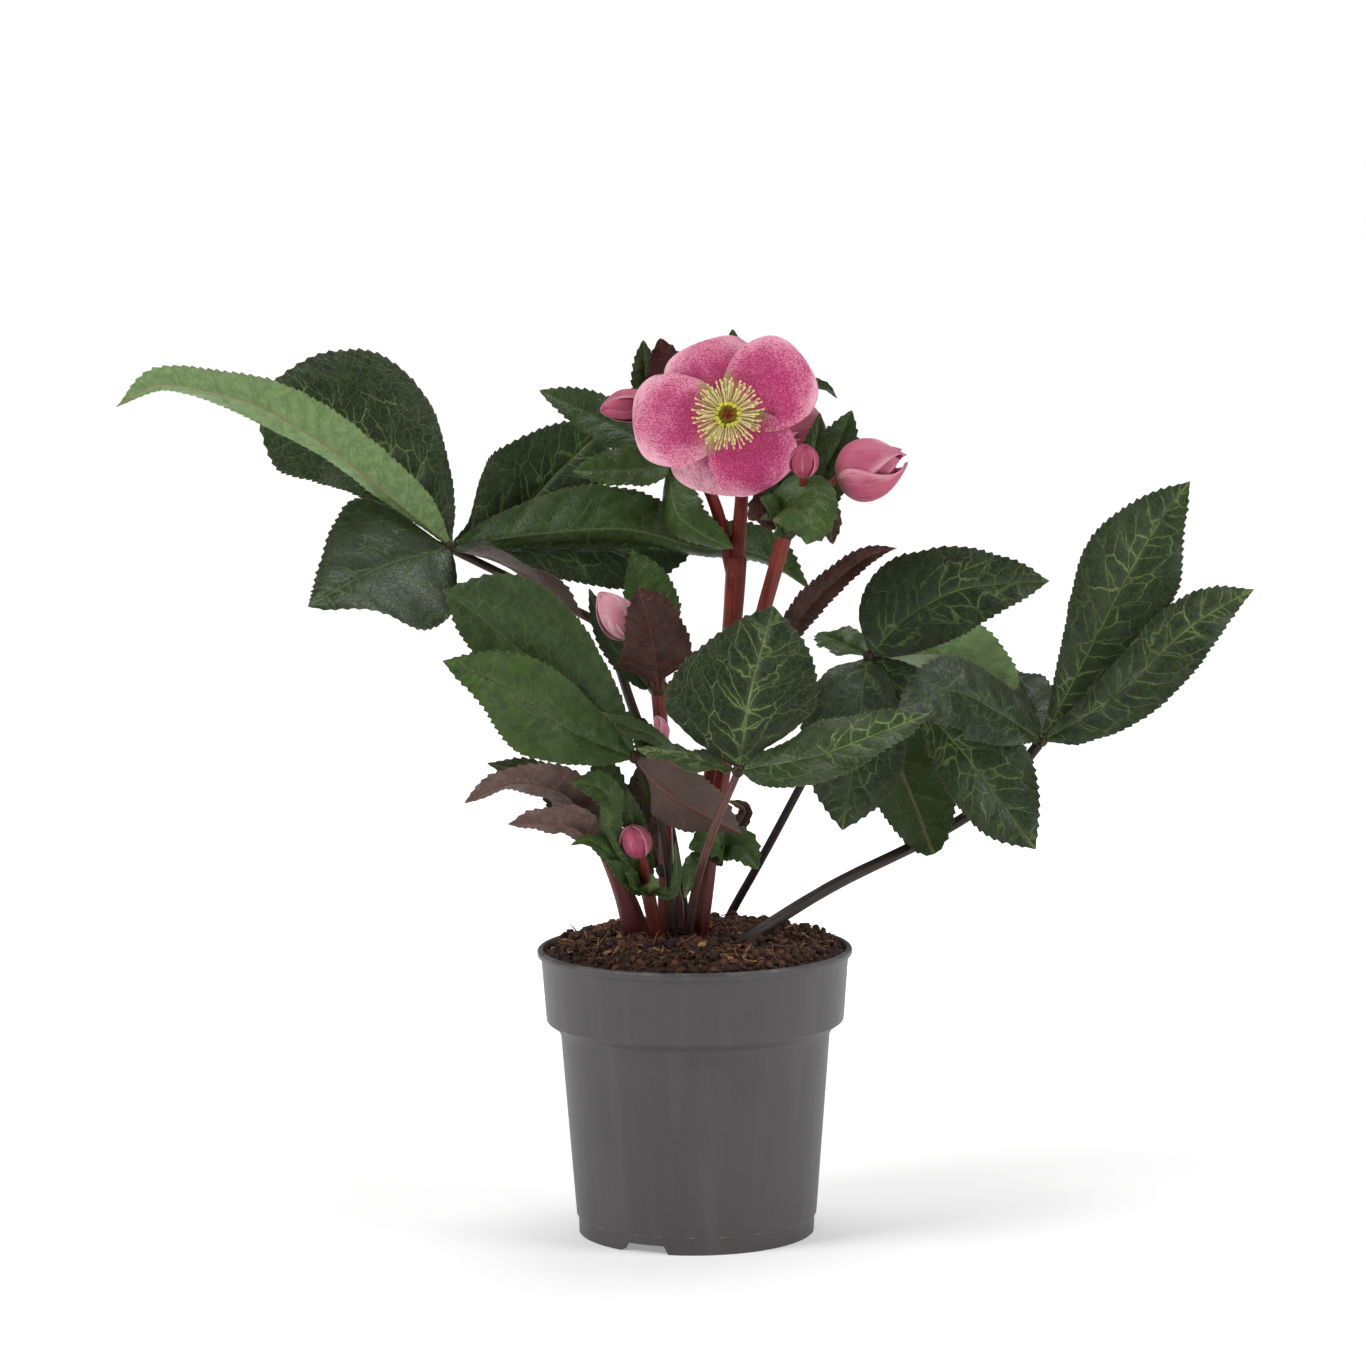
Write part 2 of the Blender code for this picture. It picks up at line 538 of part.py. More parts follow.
# Bracts: colour, stem and branch they wrap, how far along it their collar sits, what else they are cut
# clear of, and for each bract the points that its midrib runs to, its width and how it is held.
BRACTS = {
    "bracts_far_left": (GREEN_BRACT, "stem_tall", "fork_left", 0.93, [], [
        dict(to=[(-40, 0, 413), (-63, -4, 412)], width=24, face=UP_FRONT),
        dict(to=[(-47, 26, 438), (-81, 24, 454)], width=28, face=UP_FRONT),
        dict(to=[(-8, -7, 391), (4, -9, 380), (22, -9, 371)], width=27, face=(0.2, -0.8, 0.5),
             fold=(10, -60), curl=(10, -40)),
    ]),
    "bracts_left_bud": (DARK_RED, "stem_tall", "bud_stalk", 0.72, ["bud_left"], [
        dict(to=[(-12, 18, 460), (-16, 14, 482)], width=22, face=FRONT),
        dict(to=[(-24, 20, 461), (-25, 14, 481)], width=14, face=FRONT),
    ]),
    "bracts_top": (GREEN_BRACT, "stem_tall", "fork_right", 0.5, [], [
        dict(to=[(24, 34, 446), (23, 30, 486)], width=28, face=FRONT),
        dict(to=[(10, 44, 430), (38, 70, 450), (70, 66, 453), (80, 60, 447)], width=20, face=UP_FRONT,
             curl=(30, 30)),
    ]),
    "bracts_right": (GREEN_BRACT, "stem_right", None, 0.93, [], [
        dict(to=[(46, -4, 413), (45, -3, 424), (49, -1, 436)], width=18, face=FRONT),
        dict(to=[(70, 0, 410), (79, 3, 426), (86, 6, 443)], width=28, face=(0.1, -1, 0.2), fold=(20, 20)),
        dict(to=[(63, -4, 412), (67, 1, 428), (69, 4, 442)], width=16, face=FRONT),
        dict(to=[(55, -34, 396), (60, -46, 395), (62, -51, 386), (60, -49, 376)],
             left=(5, 11, 17, 16, 10), right=(5, 11, 17, 16, 10), face=(0, -0.9, 0.45), tooth=2.4),
        dict(to=[(44, -34, 393), (36, -42, 400)], width=18, face=UP_FRONT),
        dict(to=[(40, -18, 394), (30, -20, 387)], width=16, face=FRONT),
        dict(to=[(71, -14, 389), (75, -14, 373)], width=14, face=FRONT),
    ]),
    "bract_dark_right": (DARK_RED, "stem_right", None, 0.6, [], [
        dict(to=[(55, 0, 329), (72.5, 3, 348), (90, 5, 362), (101, 7, 367), (110, 8, 369)],
             left=(4.5, 6, 8.5, 7, 5.5), right=(4.5, 6, 7, 6, 4.5), face=(0.1, -0.9, 0.3), fold=(24, 20),
             curl=(-20, 10), rows=7, cols=2),
    ]),
    "bracts_mid": (DARK_RED, "stem_mid", None, 0.93, ["bud_mid"], [
        dict(to=[(-20, -33, 318), (-24, -38, 337), (-28, -37, 353)], left=(3.5, 19, 16, 12.5, 8),
             right=(3.5, 17, 19, 17, 13), face=FRONT, rows=6),
        dict(to=[(-22, -8, 318), (-27, -3, 345), (-32, 0, 370)], left=(4, 9, 10, 9, 5),
             right=(4, 12, 18, 18, 12), face=FRONT, rows=6),
        dict(to=[(-44, -10, 322), (-55, -6, 350)], width=12, face=FRONT),
    ]),
    "bracts_low_mid": (GREEN_BRACT, "stem_mid", None, 0.55, ["stalk_green"], [
        dict(to=[(-26, -10, 270), (-46, -20, 287)], width=14, face=UP_FRONT),
        dict(to=[(-8, -31, 258), (-20, -43, 274), (-33, -56, 281), (-48, -61, 290)],
             left=(1.8, 2, 3.5, 5.5, 4.5), right=(1.8, 2, 3.5, 5.5, 4.5), face=UP_FRONT),
    ]),
    "bracts_low_left": (PURPLE_BRACT, "stem_low", None, 0.88, [], [
        dict(to=[(-64, -28, 239), (-79, -36, 248), (-99, -41, 250), (-121, -42, 240)], width=26,
             face=(-0.1, 0.75, 0.7), fold=(12, 12), curl=(10, 10), rows=6),
        dict(to=[(-64, -36, 226), (-79, -42, 229), (-98, -46, 229)], left=(5, 11, 13, 12, 7),
             right=(4, 8, 9, 8, 5), face=(-0.1, 0.75, 0.7)),
        dict(to=[(-79, -10, 247), (-110, -12, 257)], width=18, face=UP_FRONT),
        dict(to=[(-46, 6, 240), (-52, 12, 262)], width=20, face=FRONT),
    ]),
    "bracts_centre": (DARK_RED, "stem_mid", None, 0.34, ["stalk_green", "stem_low"], [
        dict(to=[(-26, 8, 224), (-30, 6, 252)], width=24, face=FRONT),
    ]),
    "bracts_low": (GREEN_BRACT, "shoot_low", None, 0.72, ["stalk_green", "bud_low"], [
        dict(to=[(-46, -42, 213), (-56, -46, 220), (-65, -48, 218)], width=11, face=UP_FRONT),
        dict(to=[(-38, -42, 202), (-47, -47, 210)], width=10, face=UP_FRONT),
        dict(to=[(-32, -45, 197), (-36, -54, 204)], width=10, face=UP_FRONT),
        dict(to=[(-24, -45, 197), (-22, -52, 202)], width=10, face=UP_FRONT),
        dict(to=[(-43, -36, 218), (-43, -40, 232), (-43, -42, 247)], width=14, face=FRONT),
        dict(to=[(-31, -30, 224), (-35, -34, 246)], width=12, face=FRONT),
        dict(to=[(-45, -47, 226), (-43, -52, 241), (-51, -58, 250), (-65, -61, 253)],
             left=(1.8, 1.8, 2.2, 6, 8), right=(1.8, 1.8, 2.2, 6, 8), face=UP_FRONT, tooth=2.0),
        dict(to=[(-12, -38, 190), (-9, -41, 201), (-10, -42, 218)], width=5, face=(-0.4, -0.9, 0.2)),
    ]),
    "bracts_low_right": (GREEN_BRACT, "stem_right", None, 0.25, ["stalk_front"], [
        dict(to=[(14, -22, 212), (9, -28, 216), (-3, -30, 213)], width=20, face=UP_FRONT),
        dict(to=[(18, -18, 213), (26, -24, 212), (34, -28, 201)], width=18, face=(0.1, -0.9, 0.4)),
        dict(to=[(26, -2, 224), (27, -3, 231), (18, -6, 235)], width=8, face=FRONT),
        dict(to=[(-1, -34, 204), (-5, -48, 189)], width=9, face=FRONT),
    ]),
}

# Buds: base, tip, greatest radius, colour and the stem that carries them.
BUDS = {
    "bud_left": ((-22, 6, 449), (-48, -8, 445), 8.6, DEEP_PINK, "stem_tall"),
    "bud_red": ((59, -36, 411), (60, -47, 428), 7.6, DEEP_PINK, "stem_right"),
    "bud_rose": ((77, -22, 409), (114, -30, 420), 17, DEEP_PINK, "stem_right"),
    "bud_mid": ((-31, -24, 325), (-49, -30, 350), 10.2, PALE_PINK, "stem_mid"),
    "bud_low": ((-28, -32.5, 210), (-34, -44, 227), 8.6, PALE_PINK, "shoot_low"),
    "bud_tiny": ((-15, -26, 271), (-20, -30, 284), 3.6, PALE_PINK, "stem_mid"),
}

# Open bloom, drawn facing +Z about its centre and then turned to face the front.
BLOOM_AT = (19, -18, 442)
BLOOM_FACE = (0.05, -1.0, 0.12)
SEPALS = [
    dict(turn=109, length=41, width=50, lift=(0.0, 2.5, 2.0), curl=-6),
    dict(turn=260, length=42, width=52, lift=(0.0, 2.5, 2.0), curl=-6),
    dict(turn=34, length=50, width=50, lift=(2.0, 5.5, 9.0), curl=10),
    dict(turn=185, length=50, width=50, lift=(2.0, 5.5, 8.0), curl=10),
    dict(turn=301, length=44, width=48, lift=(2.0, 5.0, 7.0), curl=10),
]
STAMENS = 20
NECTARIES = 8
BACK_BLOOM_AT = (43, 20, 424)
BACK_BLOOM_FACE = (0.55, 0.8, 0.1)


def place_facing(verts, centre, face):
    """Turns points drawn facing +Z so that they face the given way about a centre."""
    w = unit(face)
    u = unit(np.cross((0, 0, 1), w))
    v = np.cross(w, u)
    return np.asarray(verts) @ np.stack([u, v, w]) + np.asarray(centre)


def sepal(turn, length, width, lift, curl, rows=5, cols=2):
    a = math.radians(turn)
    out = np.array([math.cos(a), math.sin(a), 0.0])
    points = [out * 3 + (0, 0, lift[0]), out * length * 0.5 + (0, 0, lift[1]), out * length + (0, 0, lift[2])]
    return blade(points, (0, 0, 1), width=width, fold=(5, 5), curl=(curl, curl), widest=0.6, blunt=0.85,
                 rows=rows, cols=cols, tooth=0, wave=1.0, waves=1.5, phase=turn, foot=4.0, thick=PETAL_THICK,
                 even=False)


def placed(shapes, centre, face):
    return [(place_facing(v, centre, face), f) for v, f in shapes]


def bloom_sepals():
    shapes = [turned([(0, -2.0), (4.0, -1.6), (7.0, 0.6), (6.0, 2.2), (0, 2.4)], 10)]
    shapes += [sepal(**s) for s in SEPALS]
    return shapes


def bloom_stamens():
    shapes = [turned([(7.4, 4.6), (7.2, 5.6), (5.4, 5.6), (5.2, 4.6)], 12, close=True)]
    for k in range(STAMENS):
        a = 2 * math.pi * (k + 0.3 * math.sin(k * 2.7)) / STAMENS
        reach = 15.5 + 3.5 * math.sin(k * 1.9) ** 2
        rise = 13.0 + 2.5 * math.cos(k * 2.3)
        out = np.array([math.cos(a), math.sin(a), 0.0])
        top = out * reach + (0, 0, rise)
        points = [out * 6.4 + (0, 0, 5.3), out * reach * 0.62 + (0, 0, rise * 0.95), top]
        shapes.append(tube(points, (0.55, 0.6, 1.1), sides=3, step=50.0))
    return shapes


def bloom_nectaries():
    shapes = [turned([(6.2, 6.8), (6.0, 7.8), (4.6, 7.8), (4.6, 6.8)], 10, close=True)]
    for k in range(NECTARIES):
        a = 2 * math.pi * (k + 0.5) / NECTARIES
        out = np.array([math.cos(a), math.sin(a), 0.0])
        shapes.append(tube([out * 5.4 + (0, 0, 7.3), out * 6.2 + (0, 0, 9.2), out * 6.6 + (0, 0, 11.2)],
                           (0.8, 1.2, 1.5), sides=4, step=30.0))
    return shapes


def bloom_carpels():
    shapes = [turned([(0, 2.8), (3.6, 3.0), (3.8, 5.5), (0, 6.5)], 8)]
    for k in range(5):
        a = 2 * math.pi * (k + 0.2) / 5
        out = np.array([math.cos(a), math.sin(a), 0.0])
        shapes.append(tube([out * 1.7 + (0, 0, 4.0), out * 2.2 + (0, 0, 9.0), out * 3.6 + (0, 0, 15.0)],
                           (1.7, 1.4, 0.5), sides=4, step=40.0))
    return shapes


def back_bloom():
    """The sepals of the second bloom, cupped and seen from behind."""
    shapes = [turned([(0, -2.0), (3.0, -1.6), (5.0, 0.6), (4.0, 2.2), (0, 2.4)], 8)]
    for k in range(5):
        lift = (1.6 * (k % 2), 8.0 + 3.0 * (k % 2), 12.0 + 4.0 * (k % 2))
        shapes.append(sepal(turn=72 * k + 20, length=29, width=32, lift=lift, curl=12, rows=4, cols=1))
    return shapes


def bud(base, tip, radius, petals=3, sides=9, rings=6):
    """A closed bud whose petals overlap in a spiral."""
    base = np.array(base, float)
    axis = np.array(tip, float) - base
    length = np.linalg.norm(axis)
    w = axis / length
    u = unit(np.cross(w, (0.2, 0.9, 0.3)))
    v = np.cross(w, u)
    verts = [base]
    for i in range(1, rings):
        t = i / rings
        swell = math.sin(math.pi * t ** 0.85) ** 0.7
        for k in range(sides):
            a = 2 * math.pi * k / sides
            wrap = (petals * a / (2 * math.pi) + 0.5 * t) % 1.0
            r = radius * swell * (0.9 + 0.14 * wrap)
            verts.append(base + w * length * t + r * (math.cos(a) * u + math.sin(a) * v))
    verts.append(base + axis)
    end = len(verts) - 1
    faces = []
    for k in range(sides):
        k1 = (k + 1) % sides
        faces.append((0, 1 + k1, 1 + k))
        for i in range(rings - 2):
            a = 1 + i * sides
            faces.append((a + k, a + k1, a + sides + k1, a + sides + k))
        top = 1 + (rings - 2) * sides
        faces.append((top + k, top + k1, end))
    return np.array(verts), faces


def rose_bud(base, tip, radius):
    """A half-open bud: a core with four loose petals round it."""
    base = np.array(base, float)
    axis = np.array(tip, float) - base
    w = unit(axis)
    u = unit(np.cross(w, (0.2, 0.9, 0.3)))
    v = np.cross(w, u)
    shapes = [bud(base, base + axis * 0.86, radius * 0.62, sides=7, rings=5)]
    for k in range(4):
        a = 2 * math.pi * (k + 0.3) / 4
        out = math.cos(a) * u + math.sin(a) * v
        points = [base + w * 3 + out * 2.2, base + axis * 0.45 + out * radius * 0.92,
                  base + axis * (0.92 + 0.08 * (k % 2)) + out * radius * (0.5 + 0.12 * (k % 2))]
        shapes.append(blade(points, -out, width=radius * 1.9, fold=(20, 20), curl=(45, 45), widest=0.6,
                            blunt=0.9, rows=4, cols=1, tooth=0, wave=0.8, foot=2.5, thick=PETAL_THICK,
                            even=False))
    return shapes


def whorl(stem, branch, along, bracts):
    """A collar round a stem with bracts standing out of it; their bases are sunk in the collar's wall."""
    points, radii = SHOOTS[stem][:2] if stem in SHOOTS else STEMS[stem]
    if branch:
        points, radii = BRANCHES[stem][branch]
    line = smooth_line(points, 101)
    i = int(along * 100)
    centre = line[i]
    axis = unit(line[min(i + 4, 100)] - line[max(i - 4, 0)])
    radius = float(np.interp(i / 100, np.linspace(0, 1, len(radii)), radii))
    half = axis * COLLAR_HEIGHT / 2
    shapes = [tube([centre - half, centre, centre + half], (radius + COLLAR_WALL,) * 3, sides=9, step=20.0)]
    for one in bracts:
        large = one.get("width", 30) >= 24
        one = dict({"rows": 4 if large else 3, "cols": 1, "tooth": 1.6 if large else 0, "wave": 1.0}, **one)
        reach = np.array(one.pop("to"), float)
        out = reach[0] - centre
        out = unit(out - np.dot(out, axis) * axis)
        base = centre + out * (radius + 0.55 * COLLAR_WALL + 0.2)
        shapes.append(blade(points=[base, *reach], **one))
    return shapes, centre


def cutters(names):
    shapes = []
    for name in names:
        if name in STEMS:
            shapes += stem_shapes(name, GAP)
        elif name in BUDS:
            base, tip, radius = BUDS[name][:3]
            shapes.append(bud(base, tip, radius + GAP))
        else:
            points, radii, _ = SHOOTS[name]
            shapes.append(tube(points, radii, more=GAP))
    return shapes


def make_pot():
    verts, faces = turned(POT_OUTSIDE + POT_INSIDE + [(0.0, FLOOR_TOP), (0.0, POT_UNDERSIDE[0][1])]
                          + POT_UNDERSIDE, POT_SEGMENTS, close=True)
    ob = mesh_object("pot", verts, faces)
    tools = []
    for k in range(DRAIN_HOLES):
        a = 2 * math.pi * k / DRAIN_HOLES
        v, f = turned([(0, 3), (DRAIN_RADIUS, 3), (DRAIN_RADIUS, 12), (0, 12)], 6)
        v = v + (DRAIN_CIRCLE * math.cos(a), DRAIN_CIRCLE * math.sin(a), 0)
        tools.append(mesh_object(f"drain{k}", v, f))
    for k in range(3):
        a = math.radians(NOTCH_TURN + 120 * k)
        bpy.ops.mesh.primitive_cube_add(size=1, location=(63 * math.cos(a) * MM, 63 * math.sin(a) * MM, 0),
                                        rotation=(0, 0, a))
        cube = bpy.context.object
        cube.scale = (9 * MM, NOTCH_WIDTH * MM, 2 * NOTCH_HEIGHT * MM)
        tools.append(cube)
    bpy.context.view_layer.update()
    boolean(ob, tools, "DIFFERENCE")
    return finish(ob, GREY_PLASTIC, smooth=True)


def make_mix():
    """The growing mix: fills the pot, with a lumpy top and a plain hole for each stalk."""
    clear = GAP + 0.1
    side = [(r - clear, z) for r, z in reversed(POT_INSIDE[2:])]
    side[0] = (side[0][0], FLOOR_TOP + GAP)
    top = POT_INSIDE[1][0] - clear
    profile = [(0.0, FLOOR_TOP + GAP)] + side
    profile += [(top * (1 - i / MIX_RINGS), MIX_AT_WALL) for i in range(MIX_RINGS)] + [(0.0, MIX_AT_WALL)]
    verts, faces = turned(profile, POT_SEGMENTS)
    verts = np.array(verts)
    for v in verts:
        if v[2] < MIX_AT_WALL - 0.01:
            continue
        r = math.hypot(v[0], v[1]) / top
        if r > 0.98:
            continue
        v[2] += (MIX_AT_CROWN - MIX_AT_WALL) * (1 - r**4)
        v[2] += 2.6 * noise.noise(Vector((v[0] * 0.11, v[1] * 0.11, 4.0)))
        v[2] += 1.6 * noise.noise(Vector((v[0] * 0.33, v[1] * 0.33, 9.0)))
    holes = []
    for name in list(STEMS) + list(SHOOTS):
        holes += cutters([name])[:1]
    return finish(fused("growing_mix", [(verts, faces)], (0, 0, 0), holes), PEAT)


def make_all():
    made = [make_pot(), make_mix()]
    for name in STEMS:
        shapes = stem_shapes(name)
        made.append(finish(fused(name, shapes, STEMS[name][0][1]), LOOK[name], smooth=True, angle=60))
    for name, (points, radii, mat) in SHOOTS.items():
        made.append(finish(fused(name, [tube(points, radii)], points[1]), mat, smooth=True, angle=60))
    for name, (mat, hub, radius, stems, leaflets) in LEAVES.items():
        shapes = [knob(hub, radius)]
        for leaflet in leaflets:
            one = dict(leaflet)
            reach = np.array(one.pop("to"), float)
            base = np.array(hub) + unit(reach[0] - hub) * radius * 0.4
            shapes.append(blade(points=[base, *reach], **one))
        made.append(finish(fused(name, shapes, hub, cutters(stems)), mat))
    for name, (mat, stem, branch, along, others, bracts) in BRACTS.items():
        shapes, centre = whorl(stem, branch, along, bracts)
        made.append(finish(fused(name, shapes, centre, cutters([stem, *others])), mat))
    for name, (base, tip, radius, mat, stem) in BUDS.items():
        shapes = rose_bud(base, tip, radius) if name == "bud_rose" else [bud(base, tip, radius)]
        made.append(finish(fused(name, shapes, base, cutters([stem])), mat, smooth=True, angle=50))
    clear = stem_shapes("stem_tall", GAP)
    for name, shapes, cut, mat in (("bloom_sepals", bloom_sepals(), clear, PINK),
                                   ("bloom_stamens", bloom_stamens(), (), CREAM),
                                   ("bloom_nectaries", bloom_nectaries(), (), YELLOW),
                                   ("bloom_carpels", bloom_carpels(), (), CARPEL)):
        made.append(finish(fused(name, placed(shapes, BLOOM_AT, BLOOM_FACE), BLOOM_AT, cut), mat))
    back = placed(back_bloom(), BACK_BLOOM_AT, BACK_BLOOM_FACE)
    made.append(finish(fused("back_bloom", back, BACK_BLOOM_AT, clear), PINK))
    return made


plant = bpy.data.objects.new("plant", None)
bpy.context.scene.collection.objects.link(plant)
for piece in make_all():
    piece.parent = plant
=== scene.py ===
"""Looks of the potted hellebore: fine leaves, petals, stems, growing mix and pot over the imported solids.

Lengths in the tables are in millimetres and are the same as in the part's source, in the same frame.
"""
import json
import math

import bmesh
import bpy
import numpy as np
from mathutils import Matrix, Vector, noise

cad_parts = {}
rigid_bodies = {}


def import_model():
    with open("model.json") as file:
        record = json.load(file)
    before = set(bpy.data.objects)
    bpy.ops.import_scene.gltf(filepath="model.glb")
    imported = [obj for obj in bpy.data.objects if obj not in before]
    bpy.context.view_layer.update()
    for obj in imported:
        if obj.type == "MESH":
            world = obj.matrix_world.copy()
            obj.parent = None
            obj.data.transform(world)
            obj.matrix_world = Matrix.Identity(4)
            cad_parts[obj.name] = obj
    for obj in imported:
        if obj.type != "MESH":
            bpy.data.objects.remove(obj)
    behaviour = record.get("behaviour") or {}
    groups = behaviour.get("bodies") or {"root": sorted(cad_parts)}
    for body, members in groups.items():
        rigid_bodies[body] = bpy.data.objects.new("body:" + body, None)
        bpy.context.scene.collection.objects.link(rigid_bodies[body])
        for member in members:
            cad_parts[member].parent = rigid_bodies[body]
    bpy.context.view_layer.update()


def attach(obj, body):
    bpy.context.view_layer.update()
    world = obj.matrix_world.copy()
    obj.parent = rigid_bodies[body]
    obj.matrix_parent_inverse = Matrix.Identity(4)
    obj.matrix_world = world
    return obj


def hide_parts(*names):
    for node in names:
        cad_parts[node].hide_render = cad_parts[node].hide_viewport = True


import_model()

MM = 0.001
ROW_STEP = 1.35
TOOTH_ROWS = 3
LEAF_THICK = 0.7
PETAL_THICK = 0.7
COLLAR_WALL = 1.8
COLLAR_HEIGHT = 4.0

FRONT = (0.0, -1.0, 0.1)
UP_FRONT = (0.0, -0.8, 0.6)
UP = (0, 0, 1)
HUB_SHARE = 0.8

POT_OUTSIDE = [
    (63.8, 0.0), (63.9, 8.6), (65.0, 9.6), (72.6, 108.0), (74.2, 111.6), (80.2, 115.8), (82.8, 149.8),
    (84.9, 151.4), (84.9, 154.0), (83.8, 155.0),
]
POT_INSIDE = [(82.0, 155.0), (81.2, 152.6), (78.7, 117.2), (71.2, 107.8), (62.6, 8.0)]
POT_UNDERSIDE = [(62.0, 6.0), (62.2, 0.0)]
POT_SEGMENTS = 168
FLOOR_TOP = 8.0
DRAIN_HOLES = 6
DRAIN_RADIUS = 4.0
DRAIN_CIRCLE = 50.0
NOTCH_WIDTH = 24.0
NOTCH_HEIGHT = 4.6
NOTCH_TURN = -116.0
NOTCH_STEP = 120.0
NOTCH_RAMP = 1.2
FOOT_RADIUS = 63.0
FOOT_INSIDE = 61.5
FLOOR_RINGS = (58.0, 30.0, 3.0)
MIX_RADIUS = POT_INSIDE[1][0] - 0.4
MIX_AT_WALL = 152.6
MIX_AT_CROWN = 162.0
# Where along a leaflet its half widths are given, from its foot to its tip.
WIDTH_AT = (0.0, 0.12, 0.3, 0.48, 0.66, 0.84, 1.0)
FINE_STEPS = 121
FOOT_HALF_WIDTH = 1.6
EDGE_WAVES = 2.5
CRUMBS = 4300
CHUNKS = 150
CHIPS = 190
FIBRES = 330
NONE = (0.0, 0.0, 0.0)

STEMS = {
    "stem_tall": ([(3, 5, 141), (3, 5, 158), (9, 4, 234), (17, 4, 288), (21, 4, 324), (24, 4, 364)],
                  (4.4, 4.8, 5.4, 5.0, 5.2, 5.6)),
    "stem_right": ([(3.5, -9, 141), (3.5, -9, 163), (7.6, -10, 199), (11, -10, 224), (20, -12, 271),
                    (29, -12, 305), (38, -12, 338), (48, -14, 373), (55, -16, 398)],
                   (4.0, 4.4, 4.2, 4.0, 4.0, 4.4)),
    "stem_mid": ([(-15, -5, 141), (-15, -5, 161), (-15, -9, 209), (-16, -13, 258), (-18, -15, 291),
                  (-19, -16, 309)], (5.6, 4.6, 3.4, 3.6, 4.2)),
    "stem_low": ([(-27, -2, 141), (-30, -4, 158), (-38, -8, 186), (-47, -12, 209), (-53, -14, 224)],
                 (7.4, 7.2, 5.4, 4.4, 3.6)),
    "stalk_left": ([(-4, 18, 141), (-4, 17, 160), (-16, 14, 233), (-33, 13, 285), (-47, 14, 324),
                    (-67, 15, 338), (-92, 15, 351), (-127, 14.2, 368.6)], (2.8, 2.7, 2.6, 2.6, 2.4, 2.2)),
    "stalk_green": ([(-11, -18, 141), (-11, -18, 160), (-15, -21, 210), (-21, -26, 241), (-29.2, -35.6, 260)],
                    (2.3, 2.2, 2.1, 2.1)),
    "stalk_front": ([(-4, -14, 141), (-4, -14, 160), (1, -36, 194), (10, -70, 228), (22, -93, 260.2)],
                    (2.4, 2.3, 2.1, 2.0)),
    "stalk_back": ([(12, 64, 141), (19, 62, 160), (37, 58, 193), (58, 52, 233), (79, 48, 274), (93, 45, 302)],
                   (2.5, 2.4, 2.3, 2.2)),
    "stalk_right": ([(2, -32, 147), (21, -27, 159), (73, 14, 184), (131, 58, 205), (167, 60, 228),
                     (188.7, 49.1, 256.4)], (3.6, 3.4, 3.3, 3.2, 3.0)),
}
BRANCHES = {
    "stem_tall": {
        "fork_right": ([(23, 4, 352), (27, 6, 399), (26, 8, 422), (21, -4, 438), (19.2, -15, 441.7)],
                       (4.6, 4.0, 3.4, 2.8, 2.4)),
        "fork_left": ([(23, 4, 352), (13, 8, 392), (2, 13, 411), (-17, 16, 416)], (4.2, 3.6, 3.2, 3.2)),
        "bud_stalk": ([(-14, 16, 414), (-18, 15, 430), (-22, 6, 448.5)], (3.0, 2.4, 2.2)),
        "back_stalk": ([(26, 8, 412), (33, 13, 419), (41, 17.8, 423.4)], (2.4, 2.2, 2.0)),
    },
    "stem_right": {
        "red_bud_stalk": ([(54, -16, 392), (58, -27, 400), (59, -36, 411.5)], (2.4, 2.2, 2.0)),
        "rose_stalk": ([(52, -15, 388), (65, -20, 399), (78, -22.2, 409.3)], (2.4, 2.2, 2.0)),
    },
    "stem_mid": {
        "mid_bud_stalk": ([(-18, -15, 290), (-23, -20, 308), (-31.5, -24.2, 325.6)], (2.0, 1.8, 1.6)),
        "tiny_bud_stalk": ([(-16, -13, 256), (-15, -18, 262), (-15.4, -26.3, 272)], (1.4, 1.4, 1.3)),
    },
}
SHOOTS = {
    "shoot_low": ([(-19, -21, 141), (-20, -21, 161), (-24, -26, 185), (-28, -32, 210)], (3.4, 3.4, 3.6, 2.8)),
    "crown_sheath": ([(-10, 7, 141), (-10, 7, 160), (-10, 6, 178), (-12, 4, 196)], (4.8, 4.8, 4.2, 1.8)),
}

